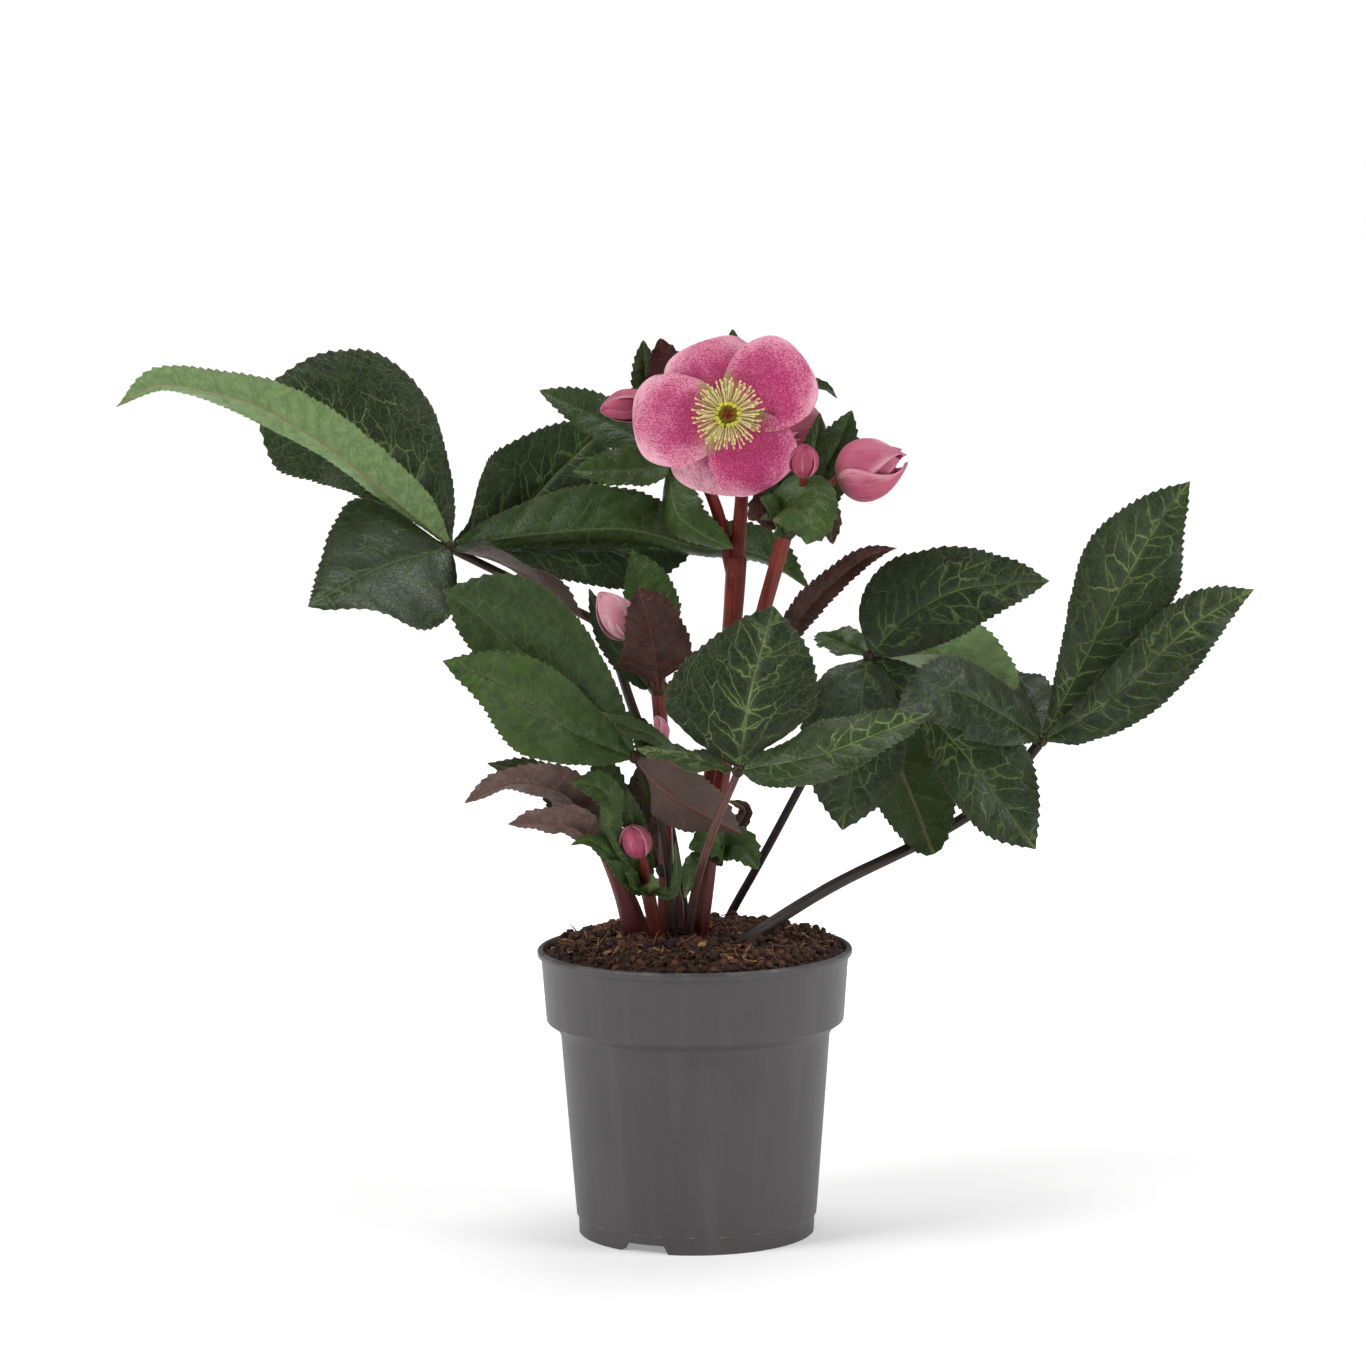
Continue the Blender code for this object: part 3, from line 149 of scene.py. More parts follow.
# Each leaflet's look is (green, vein, red, purple): how bright a green its upper face is, how strong its pale
# veins are, how far the upper face is dark red, and how far its underside is grey purple.
LEAVES = {
    "leaf_left": ("dark_leaf", (-129, 15, 371), 4.2, [
        dict(to=[(-171, 12, 407), (-198, 6, 429), (-228, -4, 448), (-258, -12, 458), (-283, -16, 461),
                 (-304, -12, 449)],
             left=(13, 18, 17, 15, 9), right=(4, 9, 13, 14, 9), look=(0.35, 0.5, 0, 0),
             face=(0.1, 0.85, 0.5), tip_face=(0.0, 0.7, 0.7), fold=(10, 10), curl=(15, 15)),
        dict(to=[(-148, 32, 399), (-174, 42, 423), (-204, 46, 438), (-237, 44, 450)],
             left=(9, 21, 28, 32, 32), right=(11, 26, 42, 48, 32), look=(0.2, 0.8, 0, 0.1),
             face=(0.1, -1, 0.2), fold=(16, 14), curl=(-10, -40), phase=1.0),
        dict(to=[(-159, -12, 365), (-181, -30, 356), (-201, -55, 346)],
             left=(24, 44, 50, 40, 18), right=(28, 46, 38, 22, 9), look=(0.12, 0.6, 0, 0.1),
             face=(-0.2, -0.8, 0.45), fold=(14, 14), curl=(-22, -25), phase=2.0),
        dict(to=[(-102, -8, 365), (-80, -18, 352), (-56, -22, 334)],
             left=(9, 14, 15, 12, 7), right=(8, 14, 15, 12, 7), look=(0.1, 0.2, 0, 1.0),
             face=(0.2, -0.8, 0.6), tip_face=(0.8, 0.5, 0.3), fold=(15, 20), curl=(-20, 25)),
        dict(to=[(-94, 34, 388), (-71, 42, 410), (-44, 48, 434)],
             left=(8, 26, 32, 26, 17), right=(8, 16, 24, 26, 17), look=(0.22, 0.7, 0, 0.1),
             face=(0.2, -0.9, 0.3), fold=(16, 12), curl=(-15, -20), phase=0.4),
        dict(to=[(-75, 20, 369), (-36, 24, 369), (5, 30, 370)],
             left=(8, 21, 28, 27, 16), right=(5, 11, 18, 23, 16), look=(0.22, 0.5, 0, 0.1),
             face=(0, -0.9, 0.4), fold=(12, 10), curl=(-15, -25), phase=3.0),
        dict(to=[(-86, 6, 378), (-36, 3, 381), (3, 16, 370), (38, 30, 364), (65, 34, 344)],
             left=(13, 23, 20, 16, 13), right=(8, 14, 14, 12, 8), look=(0.6, 0.15, 0, 0.2),
             face=(0, -0.75, 0.65), fold=(10, -70), curl=(25, -60), phase=1.4),
    ]),
    "leaf_green": ("mid_leaf", (-31, -38, 263), 4.2, [
        dict(to=[(-49, -42, 286), (-70, -45, 305), (-94, -46, 324), (-114, -45, 341), (-131, -44, 353)],
             left=(10, 16, 18, 18, 13), right=(9, 20, 30, 34, 26), look=(0.5, 0.18, 0, 0.4),
             face=(-0.1, -1, 0.25), fold=(10, 14), curl=(-12, -20), phase=0.8),
        dict(to=[(-56, -52, 275), (-71, -60, 285), (-99, -68, 306), (-130, -74, 319)],
             left=(9, 17, 25, 21, 11), right=(10, 18, 21, 19, 11), look=(0.85, 0.22, 0, 0.4),
             face=(-0.1, -0.9, 0.4), fold=(12, 12), curl=(-15, -18), phase=2.2),
        dict(to=[(-16, -54, 248), (3, -52, 236), (25, -38, 222)],
             left=(10, 19, 21, 17, 9), right=(8, 15, 17, 14, 8), look=(0.12, 0.1, 0, 1.0),
             face=(-0.3, 0.8, 0.6), fold=(12, 12), curl=(10, 30), phase=0.5),
    ]),
    "leaf_front": ("dark_leaf", (23, -95, 263), 4.2, [
        dict(to=[(26, -92, 281), (30, -86, 304), (42, -72, 346)],
             left=(25, 42, 39, 29, 16), right=(10, 28, 34, 30, 19), look=(0.12, 1.0, 0, 0.2),
             face=(0, -1, 0.25), fold=(12, 10), curl=(-20, -15), phase=0.6),
        dict(to=[(-2, -106, 271), (-29, -112, 277)],
             left=(6, 15, 19, 18, 12), right=(9, 12, 10, 8, 6), look=(0.35, 0.9, 0, 0.2),
             face=(0, -0.35, 0.95), fold=(14, 10), curl=(-10, -10), phase=2.4),
        dict(to=[(62, -108, 272), (86, -106, 280), (122, -94, 292)],
             left=(10, 18, 19, 16, 9), right=(13, 22, 17, 14, 8), look=(0.35, 1.0, 0, 0.2),
             face=(0, -0.55, 0.85), fold=(16, 8), curl=(-10, -20), phase=1.1),
    ]),
    "leaf_back": ("dark_leaf", (96, 42, 307), 4.2, [
        dict(to=[(116, 36, 328), (142, 31, 343), (168, 32, 347), (194, 36, 348)],
             left=(20, 31, 26, 20, 11), right=(14, 22, 24, 19, 10), look=(0.14, 0.65, 0, 0.1),
             face=(-0.1, -0.9, 0.35), fold=(16, 12), curl=(-15, -20), phase=0.2),
        dict(to=[(92, 26, 290), (88, 12, 262), (80, 4, 217)],
             left=(13, 21, 26, 25, 16), right=(17, 28, 31, 27, 16), look=(0.10, 0.5, 0, 0.1),
             face=(0.05, -0.95, 0.2), fold=(12, 16), curl=(-20, -20), phase=1.9),
        dict(to=[(84, 62, 312), (70, 82, 316)], width=26, look=(0.9, 0.2, 0, 0),
             face=(0, -0.5, 0.85), widest=0.45, phase=0.9),
        dict(to=[(139, 60, 306), (179, 68, 286)], width=48, look=(0.3, 0.2, 0, 0),
             face=(0.1, 0.7, 0.7), fold=(10, 10), curl=(10, 10), widest=0.5, phase=2.8),
        dict(to=[(131, 30, 273), (154, 23, 246), (185, 16, 204)],
             left=(12, 22, 27, 29, 18), right=(7, 12, 16, 21, 17), look=(0.14, 0.65, 0, 0.1),
             face=(0.1, -0.95, 0.3), fold=(10, 16), curl=(-18, -20), phase=1.2),
        dict(to=[(108, 52, 261), (121, 44, 227), (131, 34, 199)], width=48, look=(0.03, 0.2, 0, 0),
             face=(0.2, 0.9, 0.3), fold=(10, 10), curl=(12, 12), widest=0.55, blunt=1.3, phase=0.1),
    ]),
    "leaf_right": ("dark_leaf", (191, 50, 259), 4.2, [
        dict(to=[(166, 18, 278), (138, -4, 293), (108, -28, 285)],
             left=(7, 16, 23, 27, 20), right=(8, 14, 17, 19, 12), look=(0.06, 0.3, 0, 0.3),
             face=(0, -0.85, 0.5), fold=(12, 14), curl=(-20, -10), phase=0.7),
        dict(to=[(206, 54, 286), (223, 58, 318), (240, 62, 350), (257, 68, 377), (274, 72, 399)],
             left=(6, 15, 23, 28, 17), right=(9, 18, 24, 27, 14), look=(0.22, 0.85, 0, 0.1),
             face=(0.1, -1, 0.15), fold=(14, 14), curl=(-18, -15), phase=2.6),
        dict(to=[(214, 42, 273), (238, 36, 292), (265, 40, 317), (288, 46, 332), (307, 52, 341)],
             left=(6, 11, 14, 16, 12), right=(11, 18, 20, 18, 9), look=(0.14, 0.8, 0, 0.1),
             face=(0.0, -0.95, 0.3), fold=(14, 12), curl=(-15, -18), phase=1.6),
        dict(to=[(186, 86, 277), (177, 124, 290)], width=34, look=(0.1, 0.4, 0, 0.2),
             face=(0, -0.3, 0.95), widest=0.5, phase=0.3),
    ]),
}
BRACTS = {
    "bracts_far_left": ("green_bract", "stem_tall", "fork_left", 0.93, [
        dict(to=[(-40, 0, 413), (-63, -4, 412)], width=24, face=UP_FRONT, look=(0.75, 0.1, 0, 0.2)),
        dict(to=[(-47, 26, 438), (-81, 24, 454)], width=28, face=UP_FRONT, look=(0.45, 0.1, 0, 0.2)),
        dict(to=[(-8, -7, 391), (4, -9, 380), (22, -9, 371)], width=27, face=(0.2, -0.8, 0.5), fold=(10, -60),
             curl=(10, -40), look=(0.8, 0.1, 0, 1)),
    ]),
    "bracts_left_bud": ("dark_red_bract", "stem_tall", "bud_stalk", 0.72, [
        dict(to=[(-12, 18, 460), (-16, 14, 482)], width=22, face=FRONT, look=(0, 0, 1, 0.5)),
        dict(to=[(-24, 20, 461), (-25, 14, 481)], width=14, face=FRONT, look=(0.6, 0.1, 0.1, 0.2)),
    ]),
    "bracts_top": ("green_bract", "stem_tall", "fork_right", 0.5, [
        dict(to=[(24, 34, 446), (23, 30, 486)], width=28, face=FRONT, look=(0.6, 0.1, 0, 0.2)),
        dict(to=[(10, 44, 430), (38, 70, 450), (70, 66, 453), (80, 60, 447)], width=20, face=UP_FRONT,
             curl=(30, 30), look=(0.3, 0.1, 0, 0.3)),
    ]),
    "bracts_right": ("green_bract", "stem_right", None, 0.93, [
        dict(to=[(46, -4, 413), (45, -3, 424), (49, -1, 436)], width=18, face=FRONT, look=(0.6, 0.1, 0, 0.3)),
        dict(to=[(70, 0, 410), (79, 3, 426), (86, 6, 443)], width=28, face=(0.1, -1, 0.2), fold=(20, 20),
             look=(0.5, 0.1, 0, 0.5)),
        dict(to=[(63, -4, 412), (67, 1, 428), (69, 4, 442)], width=16, face=FRONT, look=(0.55, 0.1, 0, 0.4)),
        dict(to=[(55, -34, 396), (60, -46, 395), (62, -51, 386), (60, -49, 376)], left=(5, 11, 17, 16, 10),
             right=(5, 11, 17, 16, 10), face=(0, -0.9, 0.45), look=(0.85, 0.3, 0, 0.2)),
        dict(to=[(44, -34, 393), (36, -42, 400)], width=18, face=UP_FRONT, look=(0.7, 0.15, 0, 0.2)),
        dict(to=[(40, -18, 394), (30, -20, 387)], width=16, face=FRONT, look=(0.1, 0, 0.9, 0.6)),
        dict(to=[(71, -14, 389), (75, -14, 373)], width=14, face=FRONT, look=(0.3, 0, 0.7, 0.6)),
    ]),
    "bract_dark_right": ("dark_red_bract", "stem_right", None, 0.6, [
        dict(to=[(55, 0, 329), (72.5, 3, 348), (90, 5, 362), (101, 7, 367), (110, 8, 369)],
             left=(4.5, 6, 8.5, 7, 5.5), right=(4.5, 6, 7, 6, 4.5), face=(0.1, -0.9, 0.3), fold=(24, 20),
             curl=(-20, 10), look=(0.1, 0, 0.85, 1)),
    ]),
    "bracts_mid": ("dark_red_bract", "stem_mid", None, 0.93, [
        dict(to=[(-20, -33, 318), (-24, -38, 337), (-28, -37, 353)], left=(3.5, 19, 16, 12.5, 8),
             right=(3.5, 17, 19, 17, 13), face=FRONT, look=(0.2, 0, 0.9, 0.6)),
        dict(to=[(-22, -8, 318), (-27, -3, 345), (-32, 0, 370)], left=(4, 9, 10, 9, 5),
             right=(4, 12, 18, 18, 12), face=FRONT, look=(1.0, 0.15, 0, 0)),
        dict(to=[(-44, -10, 322), (-55, -6, 350)], width=12, face=FRONT, look=(0.15, 0.1, 0, 0.5)),
    ]),
    "bracts_low_mid": ("green_bract", "stem_mid", None, 0.55, [
        dict(to=[(-26, -10, 270), (-46, -20, 287)], width=14, face=UP_FRONT, look=(0.7, 0.2, 0, 0.8)),
        dict(to=[(-8, -31, 258), (-20, -43, 274), (-33, -56, 281), (-48, -61, 290)],
             left=(1.8, 2, 3.5, 5.5, 4.5), right=(1.8, 2, 3.5, 5.5, 4.5), face=UP_FRONT,
             look=(0.6, 0.15, 0, 0.3)),
    ]),
    "bracts_low_left": ("purple_bract", "stem_low", None, 0.88, [
        dict(to=[(-64, -28, 239), (-79, -36, 248), (-99, -41, 250), (-121, -42, 240)], width=26,
             face=(-0.1, 0.75, 0.7), fold=(12, 12), curl=(10, 10), look=(0.4, 0.1, 0.2, 1)),
        dict(to=[(-64, -36, 226), (-79, -42, 229), (-98, -46, 229)], left=(5, 11, 13, 12, 7),
             right=(4, 8, 9, 8, 5), face=(-0.1, 0.75, 0.7), look=(0.4, 0.1, 0.2, 1)),
        dict(to=[(-79, -10, 247), (-110, -12, 257)], width=18, face=UP_FRONT, look=(0.4, 0.1, 0.3, 0.8)),
        dict(to=[(-46, 6, 240), (-52, 12, 262)], width=20, face=FRONT, look=(0.5, 0.1, 0.1, 0.5)),
    ]),
    "bracts_centre": ("dark_red_bract", "stem_mid", None, 0.34, [
        dict(to=[(-26, 8, 224), (-30, 6, 252)], width=24, face=FRONT, look=(0.2, 0, 0.6, 0.6)),
    ]),
    "bracts_low": ("green_bract", "shoot_low", None, 0.72, [
        dict(to=[(-46, -42, 213), (-56, -46, 220), (-65, -48, 218)], width=11, face=UP_FRONT,
             look=(0.8, 0.15, 0, 0.2)),
        dict(to=[(-38, -42, 202), (-47, -47, 210)], width=10, face=UP_FRONT, look=(0.75, 0.15, 0, 0.2)),
        dict(to=[(-32, -45, 197), (-36, -54, 204)], width=10, face=UP_FRONT, look=(0.8, 0.15, 0, 0.2)),
        dict(to=[(-24, -45, 197), (-22, -52, 202)], width=10, face=UP_FRONT, look=(0.8, 0.15, 0, 0.2)),
        dict(to=[(-43, -36, 218), (-43, -40, 232), (-43, -42, 247)], width=14, face=FRONT,
             look=(0.7, 0.15, 0, 0.3)),
        dict(to=[(-31, -30, 224), (-35, -34, 246)], width=12, face=FRONT, look=(0.7, 0.15, 0, 0.3)),
        dict(to=[(-45, -47, 226), (-43, -52, 241), (-51, -58, 250), (-65, -61, 253)],
             left=(1.8, 1.8, 2.2, 6, 8), right=(1.8, 1.8, 2.2, 6, 8), face=UP_FRONT,
             look=(0.75, 0.35, 0, 0.2)),
        dict(to=[(-12, -38, 190), (-9, -41, 201), (-10, -42, 218)], width=5, face=(-0.4, -0.9, 0.2),
             look=(0.6, 0.1, 0, 0.3)),
    ]),
    "bracts_low_right": ("green_bract", "stem_right", None, 0.25, [
        dict(to=[(14, -22, 212), (9, -28, 216), (-3, -30, 213)], width=20, face=UP_FRONT,
             look=(0.75, 0.1, 0, 0.3)),
        dict(to=[(18, -18, 213), (26, -24, 212), (34, -28, 201)], width=18, face=(0.1, -0.9, 0.4),
             look=(0.65, 0.1, 0, 0.3)),
        dict(to=[(26, -2, 224), (27, -3, 231), (18, -6, 235)], width=8, face=FRONT, look=(0.1, 0, 0.7, 0.5)),
        dict(to=[(-1, -34, 204), (-5, -48, 189)], width=9, face=FRONT, look=(0.8, 0.1, 0, 0.2)),
    ]),
}
# Buds: base, tip, greatest radius, slot and how pale they are.
BUDS = {
    "bud_left": ((-22, 6, 449), (-48, -8, 445), 8.6, "deep_pink_bud", 0.0),
    "bud_red": ((59, -36, 411), (60, -47, 428), 7.6, "deep_pink_bud", -0.4),
    "bud_rose": ((77, -22, 409), (114, -30, 420), 17, "deep_pink_bud", 0.12),
    "bud_mid": ((-31, -24, 325), (-49, -30, 350), 10.2, "pale_pink_bud", 0.9),
    "bud_low": ((-28, -32.5, 210), (-34, -44, 227), 8.6, "pale_pink_bud", 0.05),
    "bud_tiny": ((-15, -26, 271), (-20, -30, 284), 3.6, "pale_pink_bud", 0.6),
}
BLOOM_AT = (19, -18, 442)
BLOOM_FACE = (0.05, -1.0, 0.12)
# Each sepal's pale share is how far it fades from deep pink to a pale, greenish pink.
SEPALS = [
    dict(turn=109, length=41, width=50, lift=(0.0, 2.5, 2.0), curl=-6, pale=0.35),
    dict(turn=260, length=42, width=52, lift=(0.0, 2.5, 2.0), curl=-6, pale=0.75),
    dict(turn=34, length=50, width=50, lift=(2.0, 5.5, 9.0), curl=10, pale=0.2),
    dict(turn=185, length=50, width=50, lift=(2.0, 5.5, 8.0), curl=10, pale=0.35),
    dict(turn=301, length=44, width=48, lift=(2.0, 5.0, 7.0), curl=10, pale=0.05),
]
# The photo's focal length and its width, both in pixels.
FOCAL = 4600
PHOTO_WIDTH = 1366
LIGHTS_AIM = Vector((0, 0, 0.3))
SEPAL_WIDEST = 0.6
SEPAL_BLUNT = 0.85
STAMENS = 104
NECTARIES = 15
CARPELS = 5
# Stamens stand in three layers: how far out their tips reach, and how high they rise.
STAMEN_REACH = (12.6, 15.4, 17.4)
STAMEN_RISE = (15.5, 13.6, 11.4)
BACK_BLOOM_AT = (43, 20, 424)
BACK_BLOOM_FACE = (0.55, 0.8, 0.1)


def unit(v):
    """A vector at length 1."""
    v = np.asarray(v, float)
    return v / max(np.linalg.norm(v), 1e-9)


def smooth_line(points, count):
    """A smooth line through the points, in equal steps."""
    p = np.array(points, float)
    p = np.vstack([2 * p[0] - p[1], p, 2 * p[-1] - p[-2]])
    fine = []
    for i in range(1, len(p) - 2):
        a, b, c, d = p[i - 1:i + 3]
        for u in np.linspace(0, 1, 20, endpoint=False):
            fine.append(0.5 * (2 * b + (c - a) * u + (2 * a - 5 * b + 4 * c - d) * u**2
                               + (3 * b - a - 3 * c + d) * u**3))
    fine.append(p[-2])
    fine = np.array(fine)
    run = np.concatenate([[0], np.cumsum(np.linalg.norm(np.diff(fine, axis=0), axis=1))])
    at = np.linspace(0, run[-1], count)
    return np.stack([np.interp(at, run, fine[:, k]) for k in range(3)], 1)


def tangents(line):
    """The direction of a line at each of its points."""
    t = np.gradient(line, axis=0)
    return t / np.linalg.norm(t, axis=1)[:, None]


def rows_unit(v):
    """Each vector of an array at length 1."""
    return v / np.maximum(np.linalg.norm(v, axis=-1, keepdims=True), 1e-9)


def along_line(line, t):
    """Places and directions at the shares t of a line."""
    at = np.linspace(0, 1, len(line))
    place, way = (np.stack([np.interp(t, at, held[:, k]) for k in range(3)], 1)
                  for held in (line, tangents(line)))
    return place, rows_unit(way)


def lobe(t, widest, blunt):
    """The width of a pointed leaf or petal at the shares t of its length, 1 at its widest."""
    inside = np.clip(t, 1e-6, 1 - 1e-6)
    before, after = blunt * widest, blunt * (1 - widest)
    shape = (inside / widest) ** before * ((1 - inside) / (1 - widest)) ** after
    return np.where(t >= 1, 0.0, shape)


def ring_faces(rows, sides, closed=False):
    """Faces between rings of points. The first and last ring are capped, or joined if it is closed."""
    faces = []
    for i in range(rows if closed else rows - 1):
        j = (i + 1) % rows
        for k in range(sides):
            k1 = (k + 1) % sides
            faces.append((i * sides + k, i * sides + k1, j * sides + k1, j * sides + k))
    if not closed:
        faces.append(tuple(range(sides))[::-1])
        faces.append(tuple((rows - 1) * sides + k for k in range(sides)))
    return faces


class Gathered:
    """Points and faces of one piece, with what the material reads at each point.

    lie is (along, across, seed) in centimetres, tone and stain are three numbers each."""

    def __init__(self):
        self.points = []
        self.faces = []
        self.lie = []
        self.tone = []
        self.stain = []
        self.count = 0

    def add(self, points, faces, lie=NONE, tone=NONE, stain=NONE):
        """Adds points and faces. lie, tone and stain are given once for all the points, or for each."""
        points = np.asarray(points, float)
        n = len(points)
        self.points.append(points)
        self.faces += [tuple(int(k) + self.count for k in f) for f in faces]
        for held, given in ((self.lie, lie), (self.tone, tone), (self.stain, stain)):
            given = np.asarray(given, float)
            held.append(np.broadcast_to(given, (n, 3)) if given.ndim == 1 else given)
        self.count += n

    def take(self, part, place, tone=None):
        """Adds another gathering, put in its place."""
        tone = np.vstack(part.tone) if tone is None else tone
        self.add(place(np.vstack(part.points)), part.faces, np.vstack(part.lie), tone, np.vstack(part.stain))

    def build(self, name, mat, node, angle=50.0):
        """Makes the object with its material, and hides the solid that it replaces."""
        mesh = bpy.data.meshes.new(name)
        mesh.from_pydata((np.vstack(self.points) * MM).tolist(), [], self.faces)
        for key, held in (("lie", self.lie), ("tone", self.tone), ("stain", self.stain)):
            layer = mesh.attributes.new(key, "FLOAT_VECTOR", "POINT")
            layer.data.foreach_set("vector", np.vstack(held).astype(np.float32).ravel())
        mesh.materials.append(mat)
        mesh.shade_smooth()
        mesh.set_sharp_from_angle(angle=math.radians(angle))
        ob = bpy.data.objects.new(name, mesh)
        bpy.context.scene.collection.objects.link(ob)
        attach(ob, "root")
        if node:
            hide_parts(*([node] if isinstance(node, str) else node))
        return ob


def sheet_solid(top, bottom):
    """Joins an upper and a lower grid of points, both (rows, columns, 3), into one closed shell."""
    rows, cols = top.shape[:2]
    n = rows * cols
    points = np.vstack([top.reshape(-1, 3), bottom.reshape(-1, 3)])
    faces = []
    for i in range(rows - 1):
        for j in range(cols - 1):
            a = i * cols + j
            faces.append((a, a + 1, a + cols + 1, a + cols))
            faces.append((n + a, n + a + cols, n + a + cols + 1, n + a + 1))
    for i in range(rows - 1):
        a = i * cols
        faces.append((a, a + cols, n + a + cols, n + a))
        a = i * cols + cols - 1
        faces.append((a + cols, a, n + a, n + a + cols))
    for j in range(cols - 1):
        faces.append((j + 1, j, n + j, n + j + 1))
        a = (rows - 1) * cols + j
        faces.append((a, a + 1, n + a + 1, n + a))
    return points, faces


# Where a blade's points lie across each half of it, from the midrib to the edge.
ACROSS = np.array([0, 0.025, 0.06, 0.13, 0.24, 0.36, 0.48, 0.6, 0.72, 0.83, 0.92, 1.0])


def side_vein(along, out):
    """How far a side vein has run up the leaf, in mm, when it is out mm from the midrib."""
    return along - 0.55 * out - 0.012 * out * out


def fine_blade(gathered, points, face, look, width=0.0, left=None, right=None, fold=(18, 18), curl=(-20, -20),
               widest=0.42, blunt=1.5, wave=1.5, phase=0.0, tip_face=None, tooth=1.1, spacing=13.0,
               relief=0.5, seed=0.0):
    """The fine form of a toothed, folded and waved blade, as in the part's source, with quilting."""
    line = smooth_line(points, FINE_STEPS)
    length = np.linalg.norm(np.diff(line, axis=0), axis=1).sum()
    teeth = max(5, int(length / (ROW_STEP * TOOTH_ROWS)))
    count = teeth * TOOTH_ROWS + 1
    t = np.linspace(0, 1, count)
    m, d = along_line(line, t)
    tip_face = face if tip_face is None else tip_face
    f = rows_unit(np.outer(1 - t, face) + np.outer(t, tip_face))
    n = rows_unit(f - np.sum(f * d, 1)[:, None] * d)
    s = np.cross(d, n)
    halves = []
    if left:
        for given in (left, right):
            widths = zip(WIDTH_AT, (FOOT_HALF_WIDTH, *given, 0.0))
            outline = smooth_line([(a, b, 0.0) for a, b in widths], FINE_STEPS)
            halves.append(np.interp(t, outline[:, 0], outline[:, 1]))
    else:
        half = width / 2 * lobe(t, widest, blunt) + FOOT_HALF_WIDTH * (1 - t) ** 4
        halves = [half, half.copy()]
    for half in halves:
        half[-1] = 0.05
    rng = np.random.default_rng(int(seed * 100) + 7)
    saw = np.tile([0.0, 0.45, 1.0], teeth + 1)[:count] * (0.75 + 0.5 * rng.random(count))
    saw[0] = saw[-1] = 0
    grids = []
    across = []
    reach_share = []
    for side in (0, 1):
        sign = 2 * side - 1
        a = math.radians(fold[side])
        c = math.radians(curl[side])
        v = ACROSS[None, :]
        half = halves[side]
        h = half[:, None]
        if abs(c) < 1e-4:
            x, z = h * v * math.cos(a), h * v * math.sin(a)
        else:
            x = h * (np.sin(a + c * v) - math.sin(a)) / c
            z = h * (math.cos(a) - np.cos(a + c * v)) / c
        edge = v ** 9
        size = np.minimum(1.0, half / 7)[:, None]
        out = np.hypot(x, z)
        ragged = np.array([0.5 * noise.noise(Vector((seed * 3 + q * length * 0.09, side * 5.0, 1.0)))
                           for q in t])
        grow = 1 + edge * (tooth * saw[:, None] + 0.25 + 1.3 * ragged[:, None]) * size / np.maximum(out, 1e-6)
        x, z = x * grow, z * grow
        z = z + wave * v * v * np.minimum(1.0, h / 8) * np.sin(
            2 * math.pi * EDGE_WAVES * t[:, None] + phase + 2.1 * side)
        u = h * v
        wander = np.array([[1.6 * noise.noise(Vector((q * length * 0.045, w * 0.06 * sign, seed)))
                            for w in (half[i] * ACROSS)] for i, q in enumerate(t)])
        turn = side_vein(t[:, None] * length + wander, u) / spacing + 0.5 * side
        swell = np.abs(np.sin(math.pi * (turn - 0.5))) ** 0.7
        env = np.clip(v / 0.2, 0, 1) * (1 - 0.75 * v ** 3) * np.minimum(1.0, h / 12)
        lumps = np.array([[noise.noise(Vector((q * length * 0.11, w * 0.11 * sign, seed + 5)))
                           for w in (half[i] * ACROSS)] for i, q in enumerate(t)])
        z = z + relief * env * (2.0 * (swell - 0.55) + 0.9 * lumps)
        z = z - 0.55 * min(1.0, relief * 2) * np.exp(-(u / 1.3) ** 2) * np.minimum(1.0, h / 6)
        lean = edge * 0.6 * ROW_STEP * (saw[:, None] > 0.6) * size
        grid = m[:, None] + s[:, None] * (sign * x)[..., None] + n[:, None] * z[..., None]
        grid = grid + d[:, None] * lean[..., None]
        grids.append(grid)
        across.append(sign * u)
        reach_share.append(np.broadcast_to(sign * v, u.shape))
    grid = np.concatenate([grids[0][:, :0:-1], grids[1]], 1)
    across = np.concatenate([across[0][:, :0:-1], across[1]], 1)
    share = np.concatenate([reach_share[0][:, :0:-1], reach_share[1]], 1)
    run_row = np.gradient(grid, axis=0)
    run_col = np.gradient(grid, axis=1)
    normal = rows_unit(np.cross(run_row, run_col))
    if np.sum(normal[count // 3, len(ACROSS) - 1] * n[count // 3]) < 0:
        normal = -normal
    flat = LEAF_THICK * (1 - 0.55 * np.abs(share) ** 4)
    narrow = np.minimum(1.0, np.minimum(*halves) / 8)[:, None]
    rib = 0.9 * np.exp(-across ** 2) * narrow * (1 - 0.6 * t[:, None])
    top = grid + normal * (flat / 2)[..., None]
    bottom = grid - normal * (flat / 2 + rib)[..., None]
    points, faces = sheet_solid(top, bottom)
    along = np.broadcast_to((t * length)[:, None], across.shape)
    lie = np.stack([along / 10, across / 10, np.full_like(across, seed)], -1).reshape(-1, 3)
    green, vein, red, purple = look
    ones = np.ones(lie.shape[0])
    tone_top = np.stack([ones * green, ones * vein, ones * 0], 1)
    tone_under = np.stack([ones * green, ones * vein, ones], 1)
    stain = np.stack([ones * red, ones * purple, share.reshape(-1)], 1)
    tone = np.vstack([tone_top, tone_under])
    gathered.add(points, faces, np.vstack([lie, lie]), tone, np.vstack([stain, stain]))


